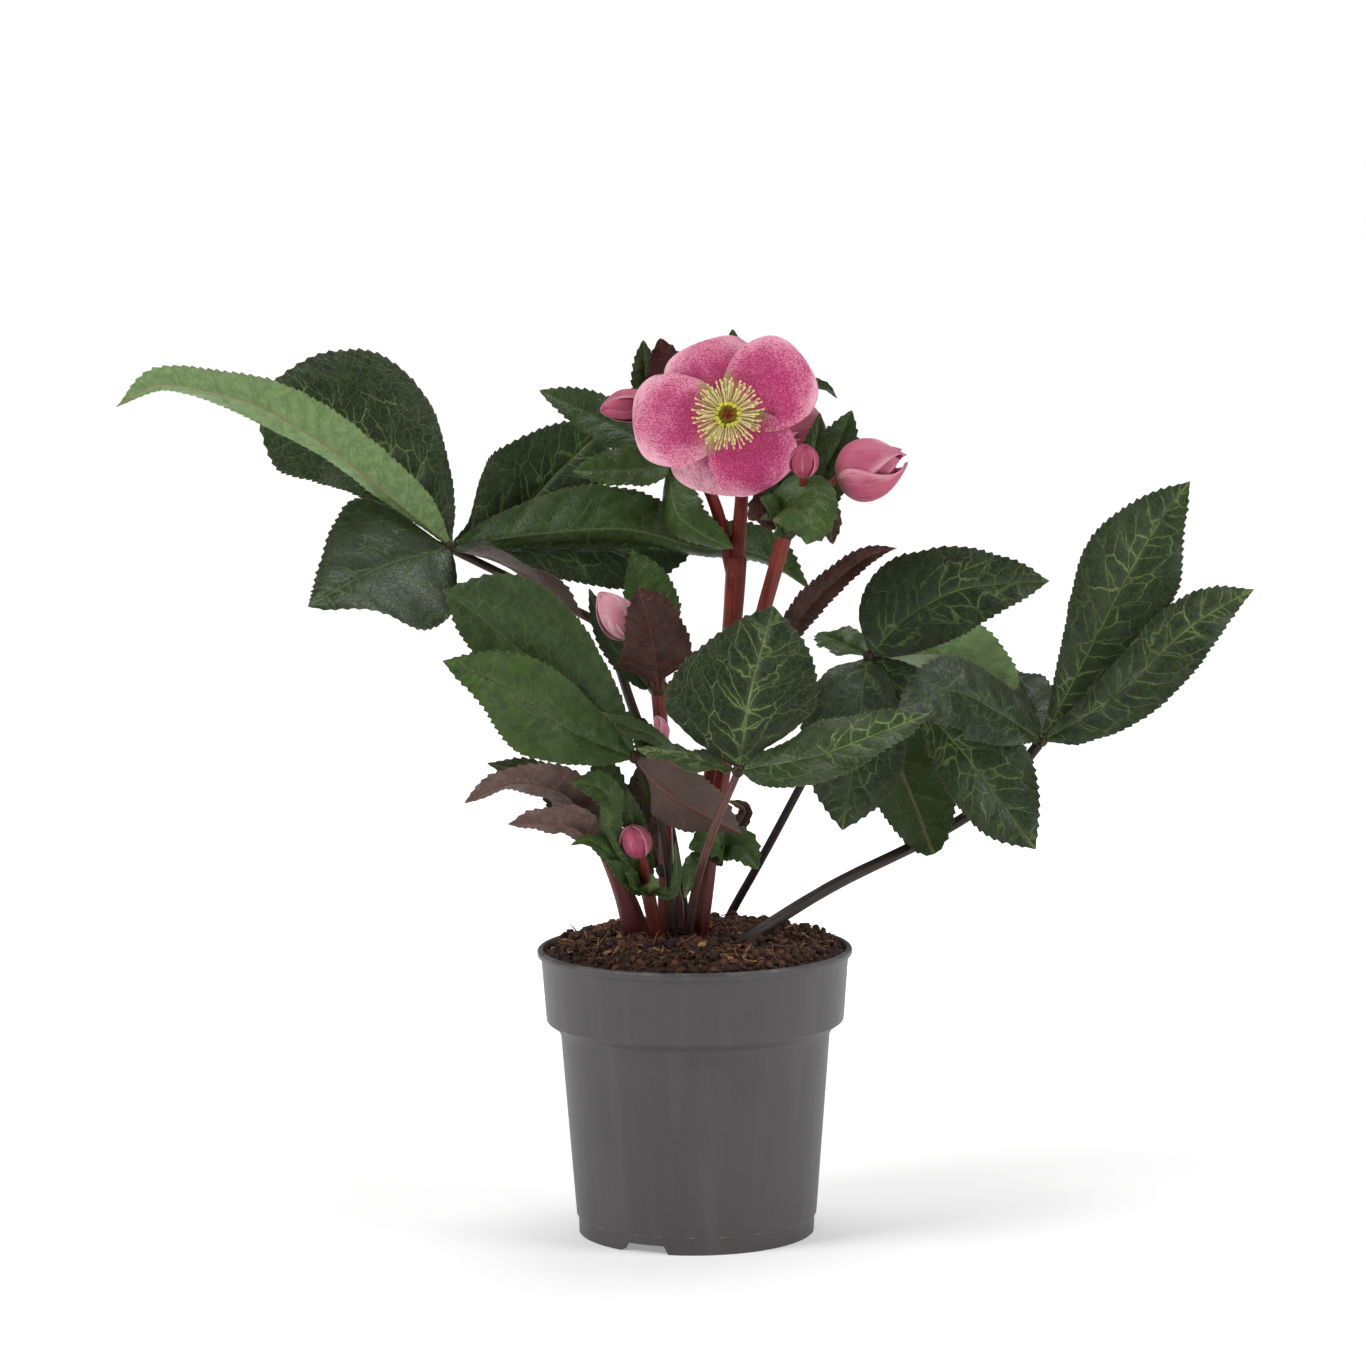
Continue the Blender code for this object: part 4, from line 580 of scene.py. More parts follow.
def fine_tube(gathered, points, radii, seed=0.0, sides=18, step=2.6, ribs=0.035, tone=NONE, stain=NONE,
              lumps=0.04, cap=0.5):
    """A smooth stalk with faint ribs along it and rounded ends."""
    rough = smooth_line(points, 60)
    length = np.linalg.norm(np.diff(rough, axis=0), axis=1).sum()
    count = max(4, int(length / step) + 1)
    line = smooth_line(points, count)
    d = tangents(line)
    where = np.linspace(0, 1, count)
    radius = np.interp(where, np.linspace(0, 1, len(radii)), radii)
    x = unit(np.cross(d[0], (0.31, 0.87, 0.2)))
    verts = []
    lie = []
    rings = [(line[0] - d[0] * radius[0] * cap, d[0], radius[0] * 0.35, 0.0),
             (line[0] - d[0] * radius[0] * cap * 0.6, d[0], radius[0] * 0.8, 0.0)]
    rings += [(line[i], d[i], radius[i], where[i] * length) for i in range(count)]
    rings += [(line[-1] + d[-1] * radius[-1] * cap * 0.6, d[-1], radius[-1] * 0.8, length),
              (line[-1] + d[-1] * radius[-1] * cap, d[-1], radius[-1] * 0.35, length)]
    for p, way, r, run in rings:
        x = unit(x - np.dot(x, way) * way)
        y = np.cross(way, x)
        for k in range(sides):
            a = 2 * math.pi * k / sides
            swell = 1 + ribs * math.cos(6 * a + seed) + lumps * noise.noise(
                Vector((run * 0.06, math.cos(a), math.sin(a) + seed)))
            verts.append(p + r * swell * (math.cos(a) * x + math.sin(a) * y))
            lie.append((run / 10, r * a / 10, seed))
    gathered.add(verts, ring_faces(len(rings), sides), lie, tone, stain)


def lump(gathered, centre, radii, axis, seed, tone, stain, rough, steps):
    """A rounded knuckle or grain. radii are (across, along), steps are (round it, along it)."""
    w = unit(axis)
    u = unit(np.cross(w, (0.2, 0.9, 0.3)))
    v = np.cross(w, u)
    sides, rings = steps
    centre = np.asarray(centre, float)
    verts = [centre - w * radii[1]]
    for i in range(1, rings):
        b = math.pi * i / rings
        for k in range(sides):
            a = 2 * math.pi * k / sides
            p = radii[0] * math.sin(b) * (math.cos(a) * u + math.sin(a) * v) - radii[1] * math.cos(b) * w
            verts.append(centre + p * (1 + rough * noise.noise(Vector(p * 0.45) + Vector((seed, 0, 0)))))
    verts.append(centre + w * radii[1])
    faces = []
    last = len(verts) - 1
    for k in range(sides):
        k1 = (k + 1) % sides
        faces.append((0, 1 + k1, 1 + k))
        for i in range(rings - 2):
            a = 1 + i * sides
            faces.append((a + k, a + k1, a + sides + k1, a + sides + k))
        a = 1 + (rings - 2) * sides
        faces.append((a + k, a + k1, last))
    lie = np.stack([np.array([p[2] for p in verts]) * 0.1, np.array([p[0] for p in verts]) * 0.1,
                    np.full(len(verts), seed)], 1)
    gathered.add(verts, faces, lie, tone, stain)


class Graph:
    """Builds shader nodes; a socket or a plain value can be given for any input."""

    def __init__(self, tree):
        self.tree = tree
        self.links = tree.links

    def set(self, socket, value):
        if isinstance(value, bpy.types.NodeSocket):
            self.links.new(value, socket)
        else:
            if socket.type == "RGBA" and len(value) == 3:
                value = (*value, 1.0)
            socket.default_value = value

    def math(self, operation, a, b=None, clamp=False):
        node = self.tree.nodes.new("ShaderNodeMath")
        node.operation = operation
        node.use_clamp = clamp
        for i, value in enumerate((a, b)):
            if value is not None:
                self.set(node.inputs[i], value)
        return node.outputs[0]

    def plus(self, a, b, clamp=False):
        return self.math("ADD", a, b, clamp)

    def minus(self, a, b):
        return self.math("SUBTRACT", a, b)

    def times(self, a, b):
        return self.math("MULTIPLY", a, b)

    def most(self, a, b, clamp=False):
        return self.math("MAXIMUM", a, b, clamp)

    def vector(self, operation, a, b=None, scale=None):
        node = self.tree.nodes.new("ShaderNodeVectorMath")
        node.operation = operation
        self.set(node.inputs[0], a)
        if b is not None:
            self.set(node.inputs[1], b)
        if scale is not None:
            self.set(node.inputs["Scale"], scale)
        return node.outputs["Value" if operation in ("LENGTH", "DOT_PRODUCT", "DISTANCE") else "Vector"]

    def mix(self, share, a, b):
        node = self.tree.nodes.new("ShaderNodeMix")
        node.data_type = "RGBA"
        node.blend_type = "MIX"
        node.clamp_factor = True
        self.set(node.inputs[0], share)
        self.set(node.inputs[6], a)
        self.set(node.inputs[7], b)
        return node.outputs[2]

    def range(self, value, low, high, to_low=0.0, to_high=1.0):
        node = self.tree.nodes.new("ShaderNodeMapRange")
        node.interpolation_type = "SMOOTHSTEP"
        for i, v in enumerate((value, low, high, to_low, to_high)):
            self.set(node.inputs[i], v)
        return node.outputs[0]

    def noise(self, place, scale, detail=3.0, rough=0.55, colour=False):
        node = self.tree.nodes.new("ShaderNodeTexNoise")
        node.noise_dimensions = "3D"
        self.set(node.inputs["Vector"], place)
        self.set(node.inputs["Scale"], scale)
        self.set(node.inputs["Detail"], detail)
        self.set(node.inputs["Roughness"], rough)
        return node.outputs["Color" if colour else "Fac"]

    def voronoi(self, place, scale, feature="F1", jitter=1.0):
        node = self.tree.nodes.new("ShaderNodeTexVoronoi")
        node.feature = feature
        self.set(node.inputs["Vector"], place)
        self.set(node.inputs["Scale"], scale)
        self.set(node.inputs["Randomness"], jitter)
        return node.outputs["Distance"]

    def split(self, vector):
        node = self.tree.nodes.new("ShaderNodeSeparateXYZ")
        self.set(node.inputs[0], vector)
        return node.outputs

    def join(self, x, y, z):
        node = self.tree.nodes.new("ShaderNodeCombineXYZ")
        for i, v in enumerate((x, y, z)):
            self.set(node.inputs[i], v)
        return node.outputs[0]

    def carried(self, name):
        node = self.tree.nodes.new("ShaderNodeAttribute")
        node.attribute_name = name
        return node.outputs["Vector"]

    def place(self):
        return self.tree.nodes.new("ShaderNodeTexCoord").outputs["Object"]

    def bump(self, height, strength, distance):
        node = self.tree.nodes.new("ShaderNodeBump")
        self.set(node.inputs["Height"], height)
        self.set(node.inputs["Strength"], strength)
        self.set(node.inputs["Distance"], distance)
        return node.outputs[0]

    def use(self, group, **given):
        node = self.tree.nodes.new("ShaderNodeGroup")
        node.node_tree = group
        for key, value in given.items():
            self.set(node.inputs[key.replace("_", " ")], value)
        return node.outputs


def new_group(name, takes, gives):
    """An empty shader node group: the group, its graph, what it takes and what it gives."""
    group = bpy.data.node_groups.new(name, "ShaderNodeTree")
    for label, kind, value in takes:
        socket = group.interface.new_socket(label, in_out="INPUT", socket_type=kind)
        if value is not None:
            socket.default_value = value
    for label, kind in gives:
        group.interface.new_socket(label, in_out="OUTPUT", socket_type=kind)
    source = group.nodes.new("NodeGroupInput").outputs
    sink = group.nodes.new("NodeGroupOutput").inputs
    return group, Graph(group), source, sink


def make_vein_group():
    """Midrib, a few curved side veins and the wide net between them, by place on the leaf in centimetres."""
    group, g, take, give = new_group(
        "leaf_veins",
        [("Place", "NodeSocketVector", None), ("Spacing", "NodeSocketFloat", 2.0),
         ("Wander", "NodeSocketFloat", 0.3), ("Cell", "NodeSocketFloat", 0.8)],
        [("Rib", "NodeSocketFloat"), ("Side", "NodeSocketFloat"), ("Net", "NodeSocketFloat"),
         ("Fine", "NodeSocketFloat"), ("Glow", "NodeSocketFloat")])
    place = take["Place"]
    sway = g.vector("SUBTRACT", g.noise(place, 0.7, 2.0, 0.5, colour=True), (0.5, 0.5, 0.5))
    small = g.vector("SUBTRACT", g.noise(place, 2.6, 2.0, 0.5, colour=True), (0.5, 0.5, 0.5))
    warped = g.vector("ADD", place, g.vector("SCALE", sway, scale=take["Wander"]))
    warped = g.vector("ADD", warped, g.vector("SCALE", small, scale=0.28))
    along, across, seed = g.split(warped)
    _, plain_across, _ = g.split(g.vector("ADD", place, g.vector("SCALE", small, scale=0.06)))
    out = g.math("ABSOLUTE", across)
    from_rib = g.math("ABSOLUTE", plain_across)
    near = g.range(from_rib, 0.1, 2.2, 1.0, 0.0)
    climb = g.plus(g.times(out, 0.55), g.times(g.times(out, out), 0.12))
    up = g.minus(along, climb)
    turn = g.math("DIVIDE", up, take["Spacing"])
    turn = g.plus(turn, g.times(g.math("GREATER_THAN", plain_across, 0.0), 0.5))
    off = g.times(g.math("ABSOLUTE", g.minus(g.math("FRACT", turn), 0.5)), take["Spacing"])
    lean = g.join(up, g.times(across, 0.8), seed)
    cells = g.math("DIVIDE", g.voronoi(lean, take["Cell"], "DISTANCE_TO_EDGE", 0.9), take["Cell"])
    fine = g.voronoi(g.vector("ADD", warped, (3.7, 1.1, 0.0)), g.times(take["Cell"], 3.1),
                     "DISTANCE_TO_EDGE")
    wide = g.plus(0.026, g.times(near, 0.034))
    g.set(give["Rib"], g.range(from_rib, 0.02, 0.09, 1.0, 0.0))
    side = g.range(off, 0.01, wide, 1.0, 0.0)
    g.set(give["Side"], g.times(side, g.range(from_rib, 0.7, 2.4, 1.0, 0.0)))
    g.set(give["Net"], g.range(cells, 0.005, wide, 1.0, 0.0))
    g.set(give["Fine"], g.range(fine, 0.0, 0.06, 1.0, 0.0))
    glow = g.most(g.range(from_rib, 0.0, 0.42, 1.0, 0.0), g.times(near, g.range(off, 0.0, 0.34, 0.9, 0.0)))
    g.set(give["Glow"], g.most(glow, g.times(near, g.range(cells, 0.0, 0.2, 0.7, 0.0))))
    return group


def make_grain_group():
    """Fine, even grain for smooth surfaces: a mask and a height."""
    group, g, take, give = new_group(
        "fine_grain",
        [("Place", "NodeSocketVector", None), ("Size", "NodeSocketFloat", 900.0)],
        [("Mask", "NodeSocketFloat"), ("Height", "NodeSocketFloat")])
    coarse = g.noise(take["Place"], take["Size"], 2.0, 0.5)
    cells = g.voronoi(take["Place"], take["Size"], "SMOOTH_F1")
    g.set(give["Mask"], g.range(coarse, 0.3, 0.7))
    g.set(give["Height"], g.plus(g.times(coarse, 0.6), g.times(cells, 0.4)))
    return group


VEINS = make_vein_group()
GRAIN = make_grain_group()


def new_material(name, colour):
    """A material, its graph and the inputs of its Principled shader."""
    mat = bpy.data.materials.new(name)
    mat.use_nodes = True
    mat.diffuse_color = (*colour, 1.0)
    return mat, Graph(mat.node_tree), mat.node_tree.nodes["Principled BSDF"].inputs


def leaf_material(name, spacing, cell, gloss):
    """Leathery leaf: dark mottled green with pale veins above, pale or grey purple below."""
    mat, g, shader = new_material(name, (0.03, 0.06, 0.03))
    place = g.carried("lie")
    green, vein, under = g.split(g.carried("tone"))
    red, purple, share = g.split(g.carried("stain"))
    veins = g.use(VEINS, Place=place, Spacing=spacing, Wander=0.5, Cell=cell)
    patch = g.noise(place, 0.42, 3.0, 0.6)
    blotch = g.noise(place, 1.9, 4.0, 0.6)
    speck = g.noise(place, 14.0, 2.0, 0.6)
    dark = g.mix(g.range(blotch, 0.35, 0.7), (0.009, 0.017, 0.007), (0.020, 0.034, 0.011))
    bright = g.mix(g.range(blotch, 0.3, 0.7), (0.026, 0.060, 0.009), (0.055, 0.110, 0.016))
    upper = g.mix(green, dark, bright)
    wine = g.mix(g.range(blotch, 0.3, 0.7), (0.030, 0.005, 0.004), (0.066, 0.013, 0.008))
    upper = g.mix(red, upper, wine)
    fade = g.range(g.math("ABSOLUTE", share), 0.45, 1.0, 1.0, 0.35)
    shown = g.times(g.times(g.range(patch, 0.30, 0.66, 0.22, 1.0), fade), vein)
    glow = g.times(veins["Glow"], shown)
    upper = g.mix(g.times(glow, 0.55), upper, (0.055, 0.11, 0.018))
    strong = g.most(veins["Rib"], g.times(veins["Side"], 0.85))
    strong = g.most(strong, g.times(veins["Net"], 0.75))
    thin = g.times(veins["Fine"], 0.07)
    line = g.most(g.times(strong, shown), g.times(thin, vein), clamp=True)
    vein_green = g.mix(g.noise(place, 2.3, 2.0), (0.15, 0.22, 0.055), (0.29, 0.35, 0.125))
    vein_colour = g.mix(red, vein_green, (0.17, 0.03, 0.03))
    always = g.times(veins["Rib"], g.plus(g.times(red, 0.4), 0.22))
    line = g.most(line, always)
    upper = g.mix(line, upper, vein_colour)
    fleck = g.times(g.range(speck, 0.45, 0.75, 0.0, 0.22), g.minus(1.0, red))
    upper = g.mix(fleck, upper, (0.045, 0.07, 0.025))
    pale = g.mix(g.range(blotch, 0.3, 0.7), (0.13, 0.21, 0.075), (0.20, 0.30, 0.115))
    pale = g.mix(g.range(green, 0.02, 0.1), (0.030, 0.055, 0.013), pale)
    plum = g.mix(g.range(blotch, 0.3, 0.7), (0.11, 0.068, 0.055), (0.20, 0.135, 0.105))
    plum = g.mix(g.range(green, 0.05, 0.4), (0.070, 0.045, 0.036), plum)
    below = g.mix(purple, pale, plum)
    net = g.most(g.times(veins["Net"], 0.4), g.times(veins["Fine"], 0.25))
    net = g.most(net, g.times(veins["Side"], 0.55))
    below = g.mix(net, below, g.mix(purple, (0.085, 0.15, 0.04), (0.12, 0.035, 0.04)))
    below = g.mix(g.times(veins["Rib"], 0.6), below, g.mix(purple, (0.22, 0.17, 0.08), (0.15, 0.05, 0.045)))
    colour = g.mix(under, upper, below)
    margin = g.range(g.math("ABSOLUTE", share), 0.965, 1.0, 0.0, 0.5)
    colour = g.mix(margin, colour, (0.10, 0.06, 0.035))
    g.set(shader["Base Color"], colour)
    rough = g.range(g.noise(place, 5.0, 3.0), 0.25, 0.75, gloss - 0.07, gloss + 0.09)
    g.set(shader["Roughness"], g.plus(rough, g.times(under, 0.16)))
    lift = g.most(g.times(veins["Net"], 0.7), g.times(veins["Fine"], 0.45))
    lift = g.most(lift, veins["Side"])
    sign = g.minus(g.times(under, 2.0), 1.0)
    height = g.times(lift, sign)
    height = g.plus(height, g.times(speck, 0.35))
    height = g.plus(height, g.times(g.noise(place, 3.0, 3.0), 0.9))
    g.set(shader["Normal"], g.bump(height, 0.55, 0.0005))
    shader["Specular IOR Level"].default_value = 0.32
    return mat


def petal_material(name):
    """Soft petal: pale margin, deep middle, magenta speckles and fine lines along it."""
    mat, g, shader = new_material(name, (0.6, 0.12, 0.25))
    lie = g.carried("lie")
    _, _, seed = g.split(lie)
    pale, speckle, under = g.split(g.carried("tone"))
    t, green, share = g.split(g.carried("stain"))
    cloud = g.noise(lie, 0.8, 3.0, 0.6)
    edge = g.math("ABSOLUTE", share)
    fade = g.plus(g.range(edge, 0.35, 1.0, 0.0, 0.6), g.range(t, 0.45, 1.0, 0.0, 0.5))
    fade = g.plus(fade, g.times(g.minus(cloud, 0.5), 0.9))
    fade = g.plus(fade, g.times(g.minus(pale, 0.35), 1.1), clamp=True)
    colour = g.mix(fade, (0.70, 0.085, 0.26), (0.90, 0.48, 0.58))
    fan = g.join(g.times(t, 2.2), g.times(share, 13.0), seed)
    streak = g.range(g.noise(fan, 1.6, 3.0, 0.6), 0.48, 0.7)
    colour = g.mix(g.times(streak, 0.35), colour, (0.36, 0.02, 0.10))
    dots = g.voronoi(g.vector("MULTIPLY", lie, (0.75, 1.0, 1.0)), 13.0, "F1")
    size = g.range(g.noise(lie, 2.6, 3.0, 0.6), 0.3, 0.75, 0.14, 0.52)
    size = g.times(size, g.range(edge, 0.7, 1.05, 1.0, 0.45))
    spot = g.range(g.minus(dots, size), -0.1, 0.1, 1.0, 0.0)
    grains = g.noise(g.vector("MULTIPLY", lie, (0.8, 1.25, 1.0)), 11.0, 4.0, 0.75)
    thick = g.minus(0.60, g.times(g.minus(1.0, fade), 0.15))
    spot = g.most(g.times(spot, 0.8), g.range(g.minus(grains, thick), -0.02, 0.05))
    spot = g.times(spot, speckle)
    colour = g.mix(g.times(spot, 0.86), colour, (0.33, 0.008, 0.085))
    heart = g.times(g.range(t, 0.05, 0.32, 1.0, 0.0), green)
    colour = g.mix(heart, colour, (0.36, 0.40, 0.10))
    back = g.mix(fade, (0.42, 0.075, 0.14), (0.66, 0.36, 0.38))
    back = g.mix(g.range(pale, -0.5, 0.15, 0.85, 0.0), back, (0.26, 0.022, 0.045))
    back = g.mix(g.range(edge, 0.72, 1.0, 0.0, 0.55), back, (0.74, 0.34, 0.38))
    back = g.mix(g.times(streak, 0.75), back, (0.25, 0.016, 0.05))
    back = g.mix(g.range(t, 0.0, 0.3, 0.5, 0.0), back, (0.20, 0.02, 0.035))
    colour = g.mix(g.times(under, 0.85), colour, back)
    g.set(shader["Base Color"], colour)
    g.set(shader["Roughness"], g.range(cloud, 0.2, 0.8, 0.46, 0.62))
    lines = g.noise(g.join(g.times(t, 3.0), g.times(share, 22.0), seed), 1.5, 3.0)
    g.set(shader["Normal"], g.bump(lines, 0.5, 0.0005))
    shader["Sheen Weight"].default_value = 0.15
    shader["Sheen Roughness"].default_value = 0.4
    return mat


def stem_material(name, low, high, foot, streak, rough=0.36):
    """Stalk: lengthwise streaks between two colours, darker near the growing mix."""
    mat, g, shader = new_material(name, high)
    place = g.place()
    along, round_, seed = g.split(g.carried("lie"))
    _, _, z = g.split(place)
    lines = g.noise(g.join(g.times(along, 0.25), g.times(round_, 9.0), seed), 1.3, 3.0, 0.6)
    cloud = g.noise(place, 45.0, 3.0, 0.6)
    colour = g.mix(g.range(g.plus(lines, g.times(cloud, 0.5)), 0.5, 1.0), low, high)
    fleck = g.range(g.noise(place, 420.0, 2.0, 0.6), 0.6, 0.75)
    colour = g.mix(g.times(fleck, 0.35), colour, streak)
    near = g.range(g.plus(z, g.times(cloud, 0.02)), 0.172, 0.225, 1.0, 0.0)
    colour = g.mix(g.times(near, 0.75), colour, foot)
    g.set(shader["Base Color"], colour)
    g.set(shader["Roughness"], g.range(cloud, 0.3, 0.7, rough - 0.06, rough + 0.1))
    g.set(shader["Normal"], g.bump(g.plus(lines, g.times(fleck, 0.2)), 0.6, 0.0006))
    shader["Specular IOR Level"].default_value = 0.27
    return mat


def pot_material():
    """Moulded satin plastic: fine grain, a painted highlight along the top of the rim, a pale trace of flash
    on the seam at the foot.
    """
    mat, g, shader = new_material("pot_plastic_fine", (0.1, 0.095, 0.098))
    place = g.place()
    x, y, z = g.split(place)
    grain = g.use(GRAIN, Place=place, Size=1500.0)
    cloud = g.noise(place, 9.0, 4.0, 0.6)
    streak = g.noise(g.vector("MULTIPLY", place, (60.0, 60.0, 4.0)), 1.0, 3.0, 0.6)
    colour = g.mix(g.range(cloud, 0.3, 0.7), (0.052, 0.048, 0.0495), (0.064, 0.059, 0.0605))
    colour = g.mix(g.range(streak, 0.45, 0.75, 0.0, 0.25), colour, (0.125, 0.118, 0.12))
    colour = g.mix(g.times(grain["Mask"], 0.12), colour, (0.15, 0.145, 0.145))
    dust = g.times(g.range(g.noise(place, 260.0, 3.0, 0.7), 0.66, 0.78), g.range(cloud, 0.45, 0.65))
    colour = g.mix(g.times(dust, 0.35), colour, (0.24, 0.2, 0.17))
    # Painted highlight: a lighter, patchy band on the top of the rim, where the light catches the lip.
    at_rim = g.range(z, 0.1525, 0.1548)
    painted_rim_highlight = g.times(at_rim, g.range(g.noise(place, 70.0, 4.0, 0.7), 0.4, 0.7))
    colour = g.mix(g.times(painted_rim_highlight, 0.5), colour, (0.2, 0.19, 0.19))
    turn = g.math("ARCTAN2", y, x)
    dash = g.range(g.noise(g.join(turn, 0.0, 0.0), 7.0, 4.0, 0.75), 0.5, 0.62)
    seam = g.times(g.range(g.math("ABSOLUTE", g.minus(z, 0.0096)), 0.0, 0.0005, 1.0, 0.0), dash)
    colour = g.mix(g.times(seam, 0.8), colour, (0.40, 0.26, 0.16))
    g.set(shader["Base Color"], colour)
    rough = g.range(grain["Mask"], 0.0, 1.0, 0.42, 0.52)
    g.set(shader["Roughness"], g.plus(rough, g.times(dust, 0.2)))
    height = g.plus(g.times(grain["Height"], 0.5), g.times(streak, 0.5))
    g.set(shader["Normal"], g.bump(height, 0.35, 0.0002))
    return mat


def earth_material(name):
    """Peat, bark and fibre: each crumb has its own shade from dark peat to red brown to pale wood."""
    mat, g, shader = new_material(name, (0.06, 0.025, 0.014))
    place = g.place()
    shade, pale, _ = g.split(g.carried("tone"))
    fleck = g.noise(place, 380.0, 4.0, 0.7)
    cloud = g.noise(place, 60.0, 4.0, 0.65)
    dark = g.mix(g.range(cloud, 0.3, 0.7), (0.010, 0.004, 0.003), (0.034, 0.012, 0.006))
    warm = g.mix(fleck, (0.085, 0.030, 0.012), (0.17, 0.060, 0.024))
    colour = g.mix(g.plus(shade, g.range(fleck, 0.55, 0.8, 0.0, 0.3), clamp=True), dark, warm)
    grain = g.noise(g.vector("MULTIPLY", place, (900.0, 250.0, 900.0)), 1.0, 3.0)
    wood = g.mix(grain, (0.32, 0.16, 0.07), (0.62, 0.36, 0.17))
    colour = g.mix(pale, colour, wood)
    g.set(shader["Base Color"], colour)
    g.set(shader["Roughness"], g.range(fleck, 0.3, 0.7, 0.72, 0.95))
    height = g.plus(fleck, g.times(g.noise(place, 1100.0, 3.0), 0.5))
    g.set(shader["Normal"], g.bump(height, 0.8, 0.0008))
    return mat


def small_part_material(name, low, high, rough):
    """Filaments, anthers, nectaries and carpels: a gentle run from one colour to another along each."""
    mat, g, shader = new_material(name, high)
    place = g.place()
    share, tip, _ = g.split(g.carried("tone"))
    cloud = g.noise(place, 700.0, 3.0, 0.6)
    colour = g.mix(g.plus(share, g.times(g.minus(cloud, 0.5), 0.5), clamp=True), low, high)
    colour = g.mix(tip, colour, (0.72, 0.60, 0.24))
    g.set(shader["Base Color"], colour)
    g.set(shader["Roughness"], g.range(cloud, 0.3, 0.7, rough - 0.08, rough + 0.1))
    g.set(shader["Normal"], g.bump(cloud, 0.6, 0.0003))
    return mat


DARK_LEAF = leaf_material("leaf_dark_marbled", 2.0, 0.82, 0.40)
MID_LEAF = leaf_material("leaf_mid_green", 1.6, 0.9, 0.44)
BRACT = leaf_material("bract_leathery", 0.9, 1.5, 0.42)
PETAL = petal_material("petal_speckled")
RED_STEM = stem_material("stem_red", (0.085, 0.010, 0.008), (0.23, 0.032, 0.020), (0.050, 0.009, 0.009),
                         (0.33, 0.10, 0.07))
DARK_STALK = stem_material("stalk_dark", (0.012, 0.008, 0.006), (0.045, 0.026, 0.018), (0.02, 0.011, 0.008),
                           (0.11, 0.085, 0.075), 0.42)
BROWN_STALK = stem_material("stalk_brown", (0.05, 0.02, 0.018), (0.16, 0.075, 0.06), (0.05, 0.018, 0.02),
                            (0.22, 0.13, 0.1), 0.42)
SHEATH = stem_material("sheath_brown", (0.06, 0.02, 0.022), (0.19, 0.085, 0.06), (0.09, 0.03, 0.03),
                       (0.26, 0.16, 0.09), 0.5)
POT = pot_material()
EARTH = earth_material("peat_and_bark")
FILAMENT = small_part_material("filament_cream", (0.58, 0.44, 0.16), (0.86, 0.74, 0.42), 0.5)
NECTARY = small_part_material("nectary_lime", (0.42, 0.46, 0.03), (0.80, 0.76, 0.10), 0.38)
CARPEL = small_part_material("carpel_brown_red", (0.40, 0.36, 0.08), (0.30, 0.05, 0.02), 0.45)


def place_facing(verts, centre, face):
    """Turns points drawn facing +Z so that they face the given way about a centre."""
    w = unit(face)
    u = unit(np.cross((0, 0, 1), w))
    v = np.cross(w, u)
    return np.asarray(verts) @ np.stack([u, v, w]) + np.asarray(centre)


def petal_sheet(gathered, grid, thick, t, share, pale, speckle, green, seed, place=None, flip=False):
    """Closes a grid of points into a thin petal with the looks that the petal material reads."""
    run_row = np.gradient(grid, axis=0)
    run_col = np.gradient(grid, axis=1)
    normal = rows_unit(np.cross(run_row, run_col)) * (-1 if flip else 1)
    flat = (thick * (1 - 0.5 * np.abs(share) ** 6) / 2)[..., None]
    points, faces = sheet_solid(grid + normal * flat, grid - normal * flat)
    if flip:
        faces = [f[::-1] for f in faces]
    if place is not None:
        points = place(points)
    steps = np.linalg.norm(np.diff(grid, axis=0), axis=2)
    along = np.vstack([np.zeros(grid.shape[1]), np.cumsum(steps, 0)])
    wide = np.linalg.norm(np.diff(grid, axis=1), axis=2)
    across = np.hstack([np.zeros((grid.shape[0], 1)), np.cumsum(wide, 1)])
    across = across - across[:, grid.shape[1] // 2][:, None]
    flat_count = grid.shape[0] * grid.shape[1]
    lie = np.stack([along / 10, across / 10, np.full(along.shape, seed)], -1).reshape(-1, 3)
    ones = np.ones(flat_count)
    tone = [np.stack([ones * pale, ones * speckle, ones * side], 1) for side in (0.0, 1.0)]
    stain = np.stack([t.reshape(-1), ones * green, share.reshape(-1)], 1)
    gathered.add(points, faces, np.vstack([lie, lie]), np.vstack(tone), np.vstack([stain, stain]))


